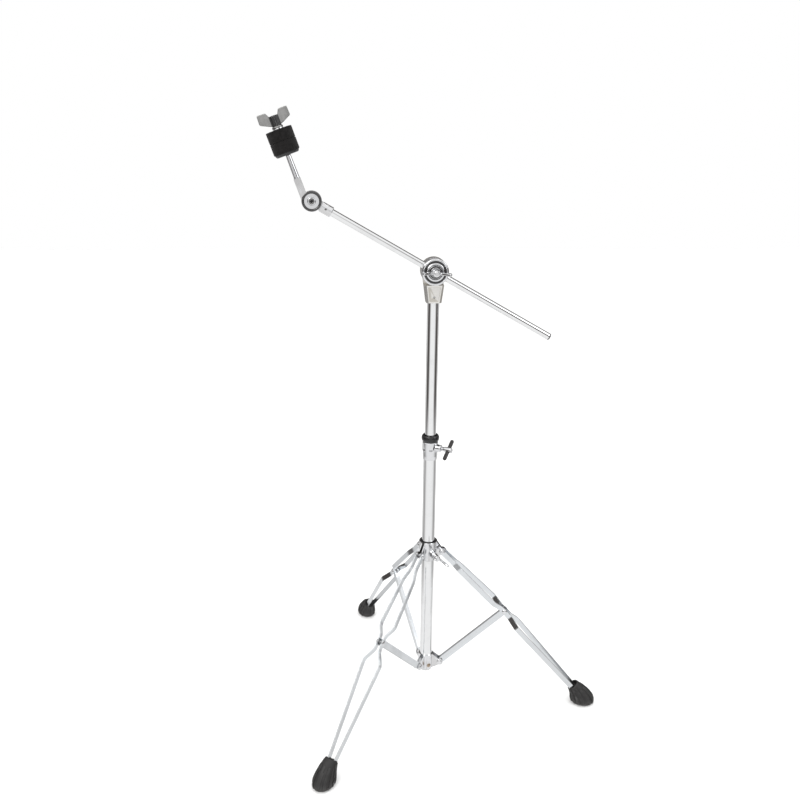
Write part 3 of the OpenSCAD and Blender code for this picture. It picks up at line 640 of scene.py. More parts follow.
def plain_steel(name):
    """Uncoated rivet steel: browned colour with turning rings and a light tarnish."""
    f = Finish(name, Metallic=1.0)
    grain = f.noise(f.place((1, 1, 2.5)), 2200, 3, 0.6)
    tarnish = f.noise(f.place(), 260, 5, 0.7).between(0.42, 0.66)
    steel = colour("rivet")
    shade = f.blend(tarnish * 0.7, steel, (0.33, 0.24, 0.16))
    rough = 0.26 + tarnish * 0.22 + grain * 0.08
    return f.drive(Base_Color=shade, Roughness=rough, Normal=f.bump(grain, 0.2, 0.00006))


def blackened_steel(name):
    """Oil-blackened screw steel with bare rubbed edges."""
    f = Finish(name, Metallic=1.0)
    grain = f.noise(f.place(), 1800, 3, 0.6)
    rubbed = f.edges(0.51, 0.57)
    patch = f.noise(f.place(), 300, 4, 0.6).between(0.4, 0.7)
    shade = f.blend(patch * 0.6, (0.05, 0.05, 0.052), (0.02, 0.019, 0.018))
    shade = f.blend(rubbed * 0.7, shade, (0.5, 0.49, 0.48))
    rough = 0.3 + grain * 0.12 + patch * 0.1 - rubbed * 0.08
    return f.drive(Base_Color=shade, Roughness=rough, Normal=f.bump(grain, 0.15, 0.00006))


def moulded_nylon(name, tint, gloss=0.2):
    """Moulded nylon: fine mould grain, faint flow marks and scuffed rims."""
    f = Finish(name, Specular_IOR_Level=0.55)
    grain = f.noise(f.place(), 2600, 3, 0.6)
    flow = f.noise(f.place((1, 1, 3)), 90, 4, 0.6).between(0.4, 0.7)
    rubbed = f.edges(0.53, 0.62)
    shade = f.blend(flow * 0.5, tint, toned(tint, 0.6))
    shade = f.blend(rubbed * wear() * 0.25, shade, tuple(min(1, c * 2 + 0.06) for c in tint))
    rough = gloss + flow * 0.08 + grain * 0.08 + rubbed * 0.1
    return f.drive(Base_Color=shade, Roughness=rough, Normal=f.bump(grain, 0.12, 0.00005))


def coated_bar(name):
    """Black-coated bar: orange-peel coat with small chips showing steel at its ends."""
    f = Finish(name)
    peel = f.noise(f.place(), 700, 2, 0.5)
    scuff = f.noise(f.place(), 340, 5, 0.7)
    rubbed = f.edges(0.515, 0.57)
    chips = (scuff + rubbed * 0.3).between(0.74, 0.8) * wear()
    shade = f.blend(scuff, (0.016, 0.015, 0.015), (0.03, 0.027, 0.026))
    shade = f.blend(chips, shade, (0.5, 0.48, 0.46))
    rough = 0.3 + scuff * 0.16 - chips * 0.1
    return f.drive(Base_Color=shade, Metallic=chips, Roughness=rough,
                   Normal=f.bump(peel, 0.12, 0.0001))


def moulded_rubber(name):
    """Boot rubber: matt grained skin, bloom, floor dust near the sole, painted shade in the
    hollows, and rib crests lightened by wear and by a painted highlight.
    """
    f = Finish(name, Specular_IOR_Level=0.4)
    skin = f.noise(f.place(), 1600, 4, 0.7)
    bloom = f.noise(f.place(), 75, 5, 0.65).between(0.42, 0.72)
    dust = (1 - f.height().between(0.001, 0.016)) * f.noise(f.place(), 210, 5, 0.7)
    rubbed = f.edges(0.52, 0.6)
    rubber = colour("rubber")
    shade = f.blend(bloom * 0.5, rubber, tuple(c * 1.7 + 0.004 for c in rubber))
    shade = f.blend(dust * wear() * 0.4, shade, (0.2, 0.19, 0.175))
    # Rib crests lighter with wear, and partly a painted highlight.
    shade = f.blend(rubbed * wear() * 0.6, shade, (0.13, 0.13, 0.13))
    # Painted shade in the hollows between the ribs.
    shade = f.blend(f.hollows(0.44, 0.495) * 0.85, shade, (0.004, 0.004, 0.004))
    rough = 0.45 + skin * 0.18 + dust * 0.2 - rubbed * 0.05
    return f.drive(Base_Color=shade, Roughness=rough, Normal=f.bump(skin, 0.35, 0.00015))


def pressed_felt(name):
    """Pressed wool felt: tangled fibres, soft clumps and a little lint."""
    f = Finish(name, Sheen_Weight=0.06, Sheen_Roughness=0.5, Specular_IOR_Level=0.12)
    tangle = f.noise(f.place((1, 1, 0.45)), 900, 5, 0.8, 1.6)
    strands = f.noise(f.place((0.4, 1.4, 1)), 1500, 3, 0.7, 2.0)
    clumps = f.noise(f.place(), 150, 4, 0.6)
    lint = f.cells(f.place((1, 1, 0.35)), 260).between(0.1, 0.03) * clumps.between(0.5, 0.65)
    felt = colour("felt")
    shade = f.blend(clumps.between(0.35, 0.7), felt, toned(felt, 0.55))
    shade = f.blend(strands.between(0.55, 0.8) * 0.6, shade, toned(felt, 2.4))
    shade = f.blend(lint * 0.35, shade, (0.22, 0.21, 0.2))
    relief = f.bump(clumps, 0.4, 0.0006)
    return f.drive(Base_Color=shade, Roughness=0.86 + strands * 0.14,
                   Normal=f.bump(tangle + strands * 0.6, 0.75, 0.0004, relief))


FINISHES = {
    "chrome_tube": polished_chrome,
    "chrome_boom": lambda name: polished_chrome(
        name, math.atan2(BOOM_AXIS.x, BOOM_AXIS.z)),
    "plated_strip": plated_strip,
    "plated_casting": plated_casting,
    # The jaw's and the cap's turned grooves get painted shade.
    "plated_jaw": lambda name: plated_casting(
        name, TILT, ((8.8, 11.4), (12.4, 13.2), (16.6, 20.4))),
    "plated_cap": lambda name: plated_casting(
        name, pivot("cymbal_tilt"), ((12.9, 17.3),)),
    "satin_casting": satin_casting,
    "grey_casting": grey_casting,
    "rivet_steel": plain_steel,
    "dark_screw": blackened_steel,
    "black_plastic": lambda name: moulded_nylon(name, colour("nylon")),
    "white_plastic": lambda name: moulded_nylon(name, (0.78, 0.77, 0.7), 0.35),
    "black_bar": coated_bar,
    "boot_rubber": moulded_rubber,
    "black_felt": pressed_felt,
}


def finish_for(slot):
    """The material of a slot, made the first time it is asked for."""
    name = "finish_" + slot
    return bpy.data.materials.get(name) or FINISHES[slot](name)


# ---------- what a user can change ----------
def metal(name, tint, text):
    """A colour in the panel."""
    return bpy.props.FloatVectorProperty(
        name=name, description=text, default=tint, size=3, min=0, max=1, subtype="COLOR")


def length(name, value, text, low=0.1, high=100.0):
    """A size in the panel, in millimetres."""
    return bpy.props.FloatProperty(
        name=name, description=text, default=value, min=low, max=high, unit="NONE")


class StandSizes(bpy.types.PropertyGroup):
    """Fine sizes that the CAD frame leaves open, in millimetres."""

    tube_sides: bpy.props.IntProperty(
        name="Tube sides", description="How many sides a round tube is built with",
        default=128, min=32, max=256)
    edge: length("Pressed edge", 0.45, "Rounding of a pressed plate's edges", 0.1, 0.9)
    strip_edge: length("Strip edge", 0.4, "Rounding of a leg strip's edges", 0.1, 0.9)
    fillet: length("Casting fillet", 0.42, "Grain of the cast wing nuts' fillets", 0.3, 1)
    rib_tall: length("Boot rib height", 1.3, "How far a boot's ribs stand out", 0.2, 2)
    felt_round: length("Felt rounding", 1.1, "Rounding of a felt's rim", 0.5, 5)
    felt_rough: length("Felt roughness", 0.35, "Unevenness of a felt's skin", 0, 1)
    thread_pitch: length("Thread pitch", 1.25, "Rise of one thread turn", 0.5, 2)


class StandFinishes(bpy.types.PropertyGroup):
    """Colours of the finishes and how worn they are."""

    chrome: metal("Tube chrome", (0.86, 0.865, 0.87), "Colour of the tubes' plating")
    strip: metal("Strip plating", (0.78, 0.805, 0.83), "Colour of the legs and braces")
    casting: metal("Casting plating", (0.78, 0.785, 0.8), "Colour of plated castings")
    satin: metal("Satin plating", (0.7, 0.67, 0.61), "Colour of the tilter's neck")
    wing_nut: metal("Grey casting", (0.4, 0.4, 0.395), "Colour of the cymbal wing nut")
    rivet: metal("Rivet steel", (0.56, 0.47, 0.38), "Colour of the hub's rivet heads")
    nylon: metal("Black nylon", (0.014, 0.014, 0.015), "Colour of the nylon parts")
    rubber: metal("Rubber", (0.022, 0.021, 0.021), "Colour of the boots")
    felt: metal("Felt", (0.012, 0.011, 0.011), "Colour of the felts")
    wear: bpy.props.FloatProperty(
        name="Wear", description="How worn the finishes look", default=0.55,
        min=0, max=1, subtype="FACTOR")


class StandStudio(bpy.types.PropertyGroup):
    """The floor, the lights and the camera."""

    camera_at: bpy.props.FloatVectorProperty(
        name="Camera", description="Where the camera stands",
        default=(-0.20915, -1.49255, 1.11103), size=3, subtype="TRANSLATION", unit="LENGTH")
    camera_pitch: bpy.props.FloatProperty(
        name="Pitch", description="Turn of the camera up from straight down",
        default=math.radians(72.753), subtype="ANGLE", unit="ROTATION")
    camera_heading: bpy.props.FloatProperty(
        name="Heading", description="Turn of the camera about the vertical",
        default=math.radians(-5), subtype="ANGLE", unit="ROTATION")
    camera_roll: bpy.props.FloatProperty(
        name="Roll", description="Turn of the camera about its own line of sight",
        default=math.radians(0.528), subtype="ANGLE", unit="ROTATION")
    lens: bpy.props.FloatProperty(
        name="Lens", description="Focal length on a 36 mm sensor", default=36.22,
        min=10, max=200, unit="CAMERA")
    floor: metal("Floor", (0.93, 0.93, 0.925), "Colour of the floor")
    key_power: bpy.props.FloatProperty(
        name="Key light", description="Power of the large soft light", default=26.0,
        min=0, max=500, unit="POWER")


def sizes():
    """The fine sizes, as the panel has them."""
    return bpy.context.scene.stand_sizes


# ---------- sizes that several pieces share, in millimetres ----------
TUBE_R, TUBE_BORE = 12.7, 11.5
UPPER_R, UPPER_BORE = 11.1, 9.9
BOOM_R, BOOM_BORE = 6.35, 5.05
THREAD_R = 4  # every large screw and the cymbal post
THREAD_HOLE = 4.05  # in what such a thread passes through
BARREL_HOLE = 10.7  # in the tilter's jaws, round the bolt's barrel
SLEEVE_R = 5.25  # the seat cup's sleeve, which runs up through the felts
FOOT_R = 331.0  # how far out from the column the lower strips aim
STRIP_W = 10.7
STRIP_T = 2.5
AT_EAR = 4.95 + STRIP_T / 2  # middle of a strip beside the collar's ear
AT_JOINT = 4.1 + STRIP_T / 2  # middle of a strip beside the brace
PIN_R = 3  # the tripod's pivot pins
PIN_HEAD = (5.2, 2.2, 0.5)  # their heads' radius, height and dimple
FACING = turn(90, "X")  # a part turned about Z then faces -Y
ALONG = turn(90, "Y")  # a part turned about Z then lies along X


# ---------- shapes shared by several pieces ----------
def rivet(name, shank, half, head, tall, dimple=0.0):
    """A riveted pin about Y with two domed heads, each with a small dimple."""
    dome = arc(1, 0, 90, 8)
    top = [(head * x, half + tall * y) for x, y in dome[:-1]] + [(0, half + tall - dimple)]
    low = [(r, -z) for r, z in reversed(top)]
    piece = turned(name, low + [(shank, -half), (shank, half)] + top, 48, closed=False)
    return settle(smooth(piece, 50), turn(-90, "X"))


def threaded(name, radius, low, high, sides=48):
    """A threaded length about Z, its crests a pitch apart, with chamfered ends."""
    pitch = sizes().thread_pitch
    root = radius - 0.6 * pitch
    chamfer = 0.7
    profile = [(0, low), (root, low), (radius - 0.1, low + chamfer)]
    z = low + chamfer
    while z + pitch < high - chamfer:
        profile += [(radius, z + 0.15 * pitch), (radius, z + 0.3 * pitch),
                    (root + 0.1, z + 0.6 * pitch), (root + 0.1, z + 0.75 * pitch)]
        z += pitch
    profile += [(radius - 0.1, high - chamfer), (root, high), (0, high)]
    return smooth(turned(name, profile, sides, closed=False), 30)


def sleeve(name, bore, radius, low, high, sides=64):
    """A plain ring or tube about Z."""
    return turned(name, [(bore, low), (radius, low), (radius, high), (bore, high)], sides)


def ratchet(piece, radius, inner, height, count, deep):
    """Cut a ring of radial teeth into a face at a height on Z."""
    cutters = []
    for k in range(count):
        cutter = rod("tooth", deep, inner, radius, "X", 4)
        cutters.append(settle(cutter, turn(360 * k / count, "Z") @ at(0, 0, height)))
    return cut(piece, gather("teeth", cutters))


def add_wings(hub, outline, thickness, height=0):
    """Weld two flat wings with well rounded rims onto a wing nut's hub."""
    for side in (1, -1):
        wing = blank("wing", outline, thickness)
        finish_modifier(wing, "BEVEL", width=thickness * 0.36 * MM, segments=3,
                        limit_method="ANGLE", angle_limit=math.radians(30))
        weld(hub, settle(wing, at(0, 0, height) @ Matrix.Diagonal((side, 1, 1, 1))))
    return hub


# ---------- column ----------
def build_tubes():
    sides = sizes().tube_sides
    for node, body, bore, radius in (("lower_tube", "column", TUBE_BORE, TUBE_R),
                                     ("upper_tube", "upper", UPPER_BORE, UPPER_R)):
        low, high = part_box(node)
        tube = sleeve(node + "_drawn", bore, radius, low.z / MM, high.z / MM, sides)
        fit(soften(settle(tube, POLE), 0.4), body, "chrome_tube", node)

    in_socket = -DISC_AT + 20.7
    tube = sleeve("boom_rod_drawn", BOOM_BORE, BOOM_R, in_socket, boom_back(), sides)
    fit(soften(settle(tube, BOOM @ ALONG), 0.4), "boom", "chrome_tube", "boom_rod",
        look="chrome_boom")

    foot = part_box("tube_plug")[0].z / MM
    plug = turned("tube_plug_moulded", [
        (0, foot), (9, foot), (12.3, foot + 0.9), (12.3, foot + 2), (11.45, foot + 2),
        (11.45, foot + 8), (9.5, foot + 8), (9.5, foot + 3), (0, foot + 3)], 64, closed=False)
    fit(soften(settle(plug, POLE), 0.25), "column", "black_plastic", "tube_plug")


def boom_back():
    """How far the boom reaches past the tilter, in millimetres."""
    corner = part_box("boom_rod")[1] - pivot("boom_roll")
    return (corner.x / MM - BOOM_R * math.sin(BOOM_SLOPE)) / math.cos(BOOM_SLOPE)


def build_end_cap():
    back = boom_back()
    cap = turned("boom_end_cap_moulded", [
        (0, back - 9), (4.6, back - 9), (5, back - 8.4), (5, back + 0.05),
        (BOOM_R, back + 0.05), (BOOM_R, back + 1.2),
        *[(5.35 + x, back + 1.2 + y) for x, y in arc(1, 0, 80, 5)],
        (2.4, back + 2.2), (1.8, back + 1.7), (0, back + 1.6)], 64, closed=False)
    fit(smooth(settle(cap, BOOM @ ALONG), 50), "boom", "black_plastic", "boom_end_cap")


# ---------- pressed brackets and their rivets ----------
def build_brackets():
    edge = sizes().edge
    for i in (1, 2, 3):
        follow(f"hub_plate_{i}", "pressed", edge, "column", "plated_casting")
        follow(f"collar_plate_{i}", "pressed", edge, "collar", "plated_casting")


def build_rivets():
    low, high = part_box("hub_rivets")
    height = (low.z + high.z) / 2 / MM
    heads = []
    inner, face = 11.3, 14.76  # a rivet's inner end, and the plate under its head
    for i in (1, 2, 3):
        head = [(4.4 * x, face + 1.8 * y) for x, y in arc(1, 0, 70, 7)]
        pin = turned("stub", [(0, inner), (2.5, inner), (2.5, face), *head,
                              (1.3, face + 1.72), (0.9, face + 1.35), (0, face + 1.3)], 40,
                     closed=False)
        heads.append(settle(smooth(pin, 45), leg_frame(i) @ turn(-60, "Z")
                            @ at(0, 0, height) @ ALONG))
    fit(gather("hub_rivet_heads", heads), "column", "rivet_steel", "hub_rivets")

    for name, body, height, half in (
            ("hub_pins", "column", HUB_H, 6.13),
            ("collar_pins", "collar", COLLAR_H, AT_EAR + STRIP_T / 2 + 0.35)):
        pins = [settle(rivet("pin", PIN_R, half, *PIN_HEAD),
                       leg_frame(i) @ at(PIVOT_R, 0, height)) for i in (1, 2, 3)]
        fit(gather(name + "_headed", pins), body, "plated_casting", name)
    for i in (1, 2, 3):
        half = AT_JOINT + STRIP_T / 2 + 0.03
        pin = settle(rivet(f"leg_{i}_pin_headed", PIN_R, half, *PIN_HEAD),
                     leg_frame(i) @ at(JOINT_R, 0, JOINT_H))
        fit(pin, f"leg_{i}", "plated_casting", f"leg_{i}_pin")


# ---------- braces and legs ----------
def build_braces():
    for i in (1, 2, 3):
        follow(f"brace_{i}", "channel", 0.35, f"brace_{i}", "plated_strip")


def strip_line():
    """A bent strip's centre line in its leg's frame, and the way across it."""
    short_of_foot, end_half, foot_z = 15, 6, 12
    upper = [(0, AT_EAR), (32, AT_EAR), (54, 12), (ARM_LINK - 31, 16),
             (ARM_LINK - 13, AT_JOINT), (ARM_LINK, AT_JOINT)]
    shin = math.hypot(FOOT_R - JOINT_R, JOINT_H - foot_z)
    lower_turn = math.atan2(JOINT_H - foot_z, FOOT_R - JOINT_R)
    lower = [(17, AT_JOINT), (41, 19.5), (shin - short_of_foot, end_half)]
    top = Matrix.Translation(Vector((PIVOT_R, 0, COLLAR_H))) @ Matrix.Rotation(
        UPPER_TURN, 4, "Y")
    bottom = Matrix.Translation(Vector((JOINT_R, 0, JOINT_H))) @ Matrix.Rotation(
        lower_turn, 4, "Y")
    line = [top @ Vector((x, y, 0)) for x, y in upper]
    line += [bottom @ Vector((x, y, 0)) for x, y in lower]
    lean = (UPPER_TURN + lower_turn) / 2
    return eased(line, 6), Vector((math.sin(lean), 0, math.cos(lean)))


def build_strips():
    line, across = strip_line()
    piece = draw("strip", [p - across * STRIP_W / 2 for p in line])
    bpy.ops.mesh.extrude_region_move(
        TRANSFORM_OT_translate={"value": across * STRIP_W * MM})
    close_up()
    finish_modifier(piece, "SOLIDIFY", thickness=STRIP_T * MM, offset=0,
                    use_even_offset=True)
    finish_modifier(piece, "BEVEL", width=sizes().strip_edge * MM, segments=3,
                    limit_method="ANGLE", angle_limit=math.radians(50))
    eye_r, half = STRIP_W / 2 + 0.5, STRIP_T / 2
    for x, y, z in ((PIVOT_R, AT_EAR, COLLAR_H), (JOINT_R, AT_JOINT, JOINT_H)):
        eye = turned("eye", [
            (0, -half - 0.04), (eye_r - 0.6, -half - 0.04), (eye_r, -half + 0.4),
            (eye_r, half - 0.4), (eye_r - 0.6, half + 0.04), (0, half + 0.04)], 64,
            closed=False)
        weld(piece, settle(eye, at(x, y, z) @ turn(90, "X")))
    smooth(piece, 30)
    for i in (1, 2, 3):
        for side, letter in ((1, "a"), (-1, "b")):
            node = f"leg_{i}_strip_{letter}"
            copy = twin(piece, node + "_bent")
            settle(copy, leg_frame(i) @ Matrix.Diagonal((1, side, 1, 1)))
            fit(smooth(copy, 30), f"leg_{i}", "plated_strip", node)
    bpy.data.objects.remove(piece)


def build_boots():
    """A boot lofted ring by ring from its sole to the mouth around the strips."""
    count = 48
    stages = [  # centre x, centre z, half length, half width, tilt
        (333.0, 0.0, 19.5, 15.5, 0), (333.0, 0.9, 21.3, 17.3, 0),
        (332.5, 3.2, 23.2, 18.9, 0), (332.0, 8.5, 24.0, 19.5, -1),
        (330.5, 13.5, 23.3, 19.0, -7), (327.5, 19.0, 21.0, 17.8, -15),
        (323.5, 25.0, 18.2, 16.2, -24), (318.5, 31.5, 15.2, 14.4, -33),
        (313.5, 37.2, 12.9, 13.0, -40), (311.5, 39.4, 12.2, 12.6, -41),
        (310.6, 40.4, 11.0, 11.5, -41), (311.2, 39.6, 9.8, 10.4, -41),
        (314.0, 36.2, 9.4, 10.0, -41)]
    clear()
    x, z, half_x, half_y, _ = stages[0]
    bpy.ops.mesh.primitive_circle_add(
        vertices=count, radius=MM, location=(x * MM, 0, z * MM), fill_type="NGON")
    boot = bpy.context.object
    boot.name = "boot"
    bpy.ops.object.mode_set(mode="EDIT")
    bpy.ops.mesh.select_all(action="SELECT")
    bpy.ops.transform.resize(value=(half_x, half_y, 1))
    for before, after in zip(stages, stages[1:]):
        move = Vector((after[0] - before[0], 0, after[1] - before[1])) * MM
        middle = Vector((after[0], 0, after[1])) * MM
        bpy.ops.mesh.extrude_region_move(TRANSFORM_OT_translate={"value": move})
        if before[4]:
            bpy.ops.transform.rotate(value=math.radians(before[4]), orient_axis="Y",
                                     center_override=middle)
        bpy.ops.transform.resize(value=(after[2] / before[2], after[3] / before[3], 1),
                                 center_override=middle)
        if after[4]:
            bpy.ops.transform.rotate(value=-math.radians(after[4]), orient_axis="Y",
                                     center_override=middle)
    close_up()
    rib_columns(boot, count)
    finish_modifier(boot, "BEVEL", width=0.3 * MM, segments=2, limit_method="ANGLE",
                    angle_limit=math.radians(30))
    for i in (1, 2, 3):
        copy = settle(twin(boot, f"leg_{i}_boot_moulded"), leg_frame(i))
        fit(smooth(copy, 42), f"leg_{i}", "boot_rubber", f"leg_{i}_boot")
    bpy.data.objects.remove(boot)


def rib_columns(boot, count):
    """Raise ribs that run from the boot's mouth down to its sole."""
    sole_x, leaning, lowest, highest, smallest = 333, 0.55, 3, 36.5, 2e-7
    edit(boot, "FACE")
    bpy.ops.object.mode_set(mode="OBJECT")
    for face in boot.data.polygons:
        x, y, z = (boot.matrix_world @ face.center) / MM
        spine = sole_x - leaning * max(0, z - 6)
        column = int((math.degrees(math.atan2(y, x - spine)) + 180) / 360 * count)
        outer = (abs(face.normal.z) < 0.97 and len(face.vertices) == 4
                 and lowest < z < highest and face.area > smallest)
        face.select = outer and column % 4 in (0, 1)
    bpy.ops.object.mode_set(mode="EDIT")
    bpy.ops.mesh.inset(thickness=0.3 * MM, use_even_offset=True)
    bpy.ops.mesh.extrude_region_shrink_fatten(
        TRANSFORM_OT_shrink_fatten={"value": sizes().rib_tall * MM})
    close_up()


# ---------- sliding collar ----------
def build_collar():
    low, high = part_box("collar_bush")
    foot, top = low.z / MM, high.z / MM
    bush = turned("collar_bush_moulded", [
        (12.75, foot), (15.4, foot), (16.15, foot + 0.8), (16.15, top - 3.2),
        (15.9, top - 2.8), (13.6, top - 1.6), (12.75, top - 1.6)])
    bush = soften(settle(bush, POLE), 0.3)
    fit(bush, "collar", "black_plastic", "collar_bush")
    follow("collar_nut", "turned", 0.6, "collar", "plated_casting")

    plate_at = 18.18
    hub_at = plate_at + 8.2
    hub = turned("collar_screw_cast", [
        (0, hub_at), (7.4, hub_at), (7.2, hub_at + 3), (6, hub_at + 17), (4.6, hub_at + 18.4),
        (0, hub_at + 18.4)], 48, closed=False)
    outline = [(2, 3), (8, 4.5), (13, 8.5), (18, 15), (20.3, 22), (21, 31), (20, 35.4),
               (17.6, 37), (15, 35.8), (12, 31), (8.6, 21), (6.5, 15), (2, 13)]
    cast(add_wings(hub, outline, 4, hub_at), sizes().fillet)
    shank = threaded("shank", THREAD_R, 13.05, hub_at + 2)
    screw = gather("collar_screw_cast", [hub, shank])
    settle(screw, screw_frame("collar_screw_turn") @ turn(55, "Z"))
    fit(screw, "collar_screw", "plated_casting", "collar_screw")


# ---------- height clamp ----------
CLAMP_R, CLAMP_BORE = 15.3, 12.73
CLAMP_TURN = math.degrees(math.atan2(*reversed(JOINTS["clamp_screw_turn"]["axis"][:2])))
BAR_AT = CLAMP_R + 24


def build_clamp():
    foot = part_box("clamp_shell")[0].z / MM
    band = foot + 18
    shell = turned("clamp_shell_cast", [
        (CLAMP_BORE, foot), (13.4, foot), (13.7, foot + 2.4), (14.2, foot + 6.6),
        (14.4, foot + 8.2), (14.4, foot + 16.8), (CLAMP_R, foot + 18.2), (CLAMP_R, foot + 35),
        (14.4, foot + 36), (CLAMP_BORE, foot + 36)])
    radial = at(0, 0, band + 7) @ turn(CLAMP_TURN, "Z") @ ALONG
    boss = turned("boss", [(0, 13.4), (7.6, 13.4), (7.1, 16), (7, 22.3), (6.6, 23.6),
                           (5.8, 24.3), (0, 24.3)], 64, closed=False)
    weld(shell, settle(boss, radial))
    cut(shell, rod("tube", CLAMP_BORE, foot - 2, foot + 40, sides=96),
        settle(rod("bore", THREAD_HOLE, 12, 30), radial))
    soften(shell, 0.3)
    slots = []
    for k in range(1, 6):
        ends = arc(1.5, -90, 90, 12, (2.2, 0)) + arc(1.5, 90, 270, 12, (-2.2, 0))
        slot = settle(blank("slot", ends, 3.7), at(16.17, 0, 0) @ turn(90, "Z"))
        round_to = turn(CLAMP_TURN + 2.3 - 60 * k, "Z")
        slots.append(settle(slot, at(0, 0, band + 3.62) @ round_to))
    cut(shell, gather("slots", slots))
    fit(smooth(settle(shell, POLE)), "column", "plated_casting", "clamp_shell")

    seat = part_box("clamp_ring")[0].z / MM
    rim = [(13.2 + 4 * x, seat + 7.7 + 6.8 * y) for x, y in arc(1, -60, 76, 14)]
    ring = turned("clamp_ring_moulded", [
        (11.15, seat), (14.2, seat), *rim, (13.4, seat + 14.5), (14.5, seat + 14.1),
        (12.4, seat + 10.4), (11.15, seat + 8.9)], 96)
    fit(soften(settle(ring, POLE), 0.35), "column", "black_plastic", "clamp_ring")

    place = screw_frame("clamp_screw_turn")
    hub = turned("clamp_screw_turned", [
        (0, BAR_AT - 10), (4.6, BAR_AT - 10), (4.7, BAR_AT - 8.6), (5.4, BAR_AT - 7),
        (5.4, BAR_AT + 6), (4.9, BAR_AT + 6.9), (3.6, BAR_AT + 7.2), (0, BAR_AT + 7.2)], 64,
        closed=False)
    cross = turn(-52, "Z") @ at(0, 0, BAR_AT)
    cut(hub, settle(rod("hole", 3.83, -20, 20, "X"), cross))
    soften(hub, 0.45)
    neck = threaded("neck", THREAD_R, 11.45, BAR_AT - 9.5)
    screw = settle(gather("clamp_screw_turned", [hub, neck]), place)
    fit(screw, "clamp_screw", "plated_casting", "clamp_screw")

    ends = [(3.8 * x, 19.7 + 3.8 * y) for x, y in arc(1, 0, 84, 7)]
    waist = [(3.8, 12), (3.62, 8), (3.8, 6)]
    half = [(r, z) for r, z in reversed(waist)] + ends + [(0, 23.5)]
    profile = [(r, -z) for r, z in reversed(half)] + half
    bar = turned("clamp_bar_coated", profile, 48, closed=False)
    settle(smooth(bar, 50), place @ cross @ ALONG)
    fit(bar, "clamp_screw", "black_bar", "clamp_bar")


# ---------- boom tilter ----------
BOOM_Y = (pivot("boom_roll") - TILT).y / MM
BOOM_GROOVE = 7.45


def boom_bore(reach=60):
    """The cutter that clears the boom's way through the jaws and the bolt."""
    return settle(rod("bore", BOOM_GROOVE, -reach, reach, "X", 96),
                  at(0, BOOM_Y, 0) @ turn(math.degrees(BOOM_SLOPE), "Y"))


def build_neck():
    follow("tilter_body", "cast", 0.9, "upper", "satin_casting", 4)
    follow("tilter_set_screw", "cut", 0.15, "upper", "dark_screw")


def build_jaws():
    rear = turned("jaw_rear_cast", [
        (0, -0.65), (21, -0.65), (21, 0.55), (24.5, 0.55), (24.5, 8.2), (24, 9.4),
        (23, 10.35), (0, 10.35)], 128, closed=False)
    soften(rear, 0.4)
    ratchet(rear, 20.6, 16.5, -0.65, 48, 0.72)
    settle(rear, FACING)
    cut(rear, boom_bore(), rod("barrel", BARREL_HOLE, -20, -1.7 - 0.03, "Y", 64))
    fit(smooth(settle(rear, HEAD)), "tilter_head", "plated_casting", "jaw_rear")

    front = turned("jaw_front_cast", [
        (0, 10.95), (23, 10.95), (24, 11.7), (24.5, 12.9), (24.5, 22.7), (24.2, 23.8),
        (23.4, 24.6), (22.3, 24.95), (20.9, 24.9), (20.1, 24.3), (19.5, 23.3), (18, 23.3),
        (17.3, 24.2), (16.6, 25.4), (15.4, 26.1), (13.9, 26.1), (13.1, 25.5),
        (12.6, 24.5), (11.6, 24.4), (11, 25.2), (10.4, 27.2), (9.8, 27.95), (4.03, 27.95),
        (4.03, 20), (0, 20)], 128, closed=False)
    settle(soften(front, 0.35, 2), FACING)
    cut(front, boom_bore(), rod("barrel", BARREL_HOLE, -19.8, 0, "Y", 64))
    fit(smooth(settle(front, HEAD)), "tilter_head", "plated_casting", "jaw_front",
        look="plated_jaw")

    washer = sleeve("tilter_washer_stamped", 4.2, 8.6, 27.98, 29.55)
    settle(washer, HEAD @ FACING)
    fit(soften(washer, 0.3), "tilter_head", "plated_casting", "tilter_washer")

    bolt = threaded("tilter_bolt_threaded", THREAD_R, -18.4, 46.9)
    barrel = turned("barrel", [(0, 1.8), (10.65, 1.8), (10.65, 19.7), (0, 19.7)], 64,
                    closed=False)
    settle(weld(bolt, barrel), FACING)
    cut(bolt, boom_bore())
    fit(smooth(settle(bolt, HEAD), 30), "tilter_head", "plated_casting", "tilter_bolt")
    follow("tilter_rear_nut", "cut", 0.4, "tilter_head", "plated_casting")
    follow("boom_liner", "moulded", 0.2, "liner", "black_plastic")


def build_tilter_wing_nut():
    hub = turned("tilter_wing_nut_cast", [
        (0, 0), (8.4, 0), (8.2, 2), (6.8, 9), (6.4, 12.6), (5.6, 14.6), (4.6, 15), (0, 15)], 64,
        closed=False)
    outline = [(2, 3), (8, 3.4), (16, 6.2), (25, 10), (26.6, 11.4), (27, 13.5), (26.6, 19),
               (25.8, 23), (24.4, 24.8), (22.4, 24.6), (18, 21.4), (12, 16.6), (8, 13.4),
               (2, 12.4)]
    cast(add_wings(hub, outline, 4.4), sizes().fillet, 10)
    cut(hub, rod("bore", THREAD_HOLE, -2, 17))
    settle(hub, HEAD @ at(0, -29.9, 0) @ FACING @ turn(-3, "Z"))
    fit(shade_below(hub, 45), "tilter_wing_nut", "plated_casting", "tilter_wing_nut")


# ---------- small tilter, post and felts ----------
DISC_R = 17.5
HALF_T = 9.0  # half the thickness of the closed pair of discs
POST_X = -10.0
POST = ARM @ at(POST_X, 0, 0)
SEAT_AT = 85.0  # heights along the post, from here on
FELT_R = 23.0
FELT_T = 19.6
FELT_FOOT = SEAT_AT + 4.5
FELT_TOP = FELT_FOOT + 2 * FELT_T + 0.1
NUT_FOOT = FELT_TOP + 0.05 + 2.5 + 0.35
POST_TOP = NUT_FOOT + 19.5


def build_socket():
    follow("boom_socket", "cast", 0.5, "boom", "plated_casting")
    follow("socket_screw", "cut", 0.15, "boom", "dark_screw")


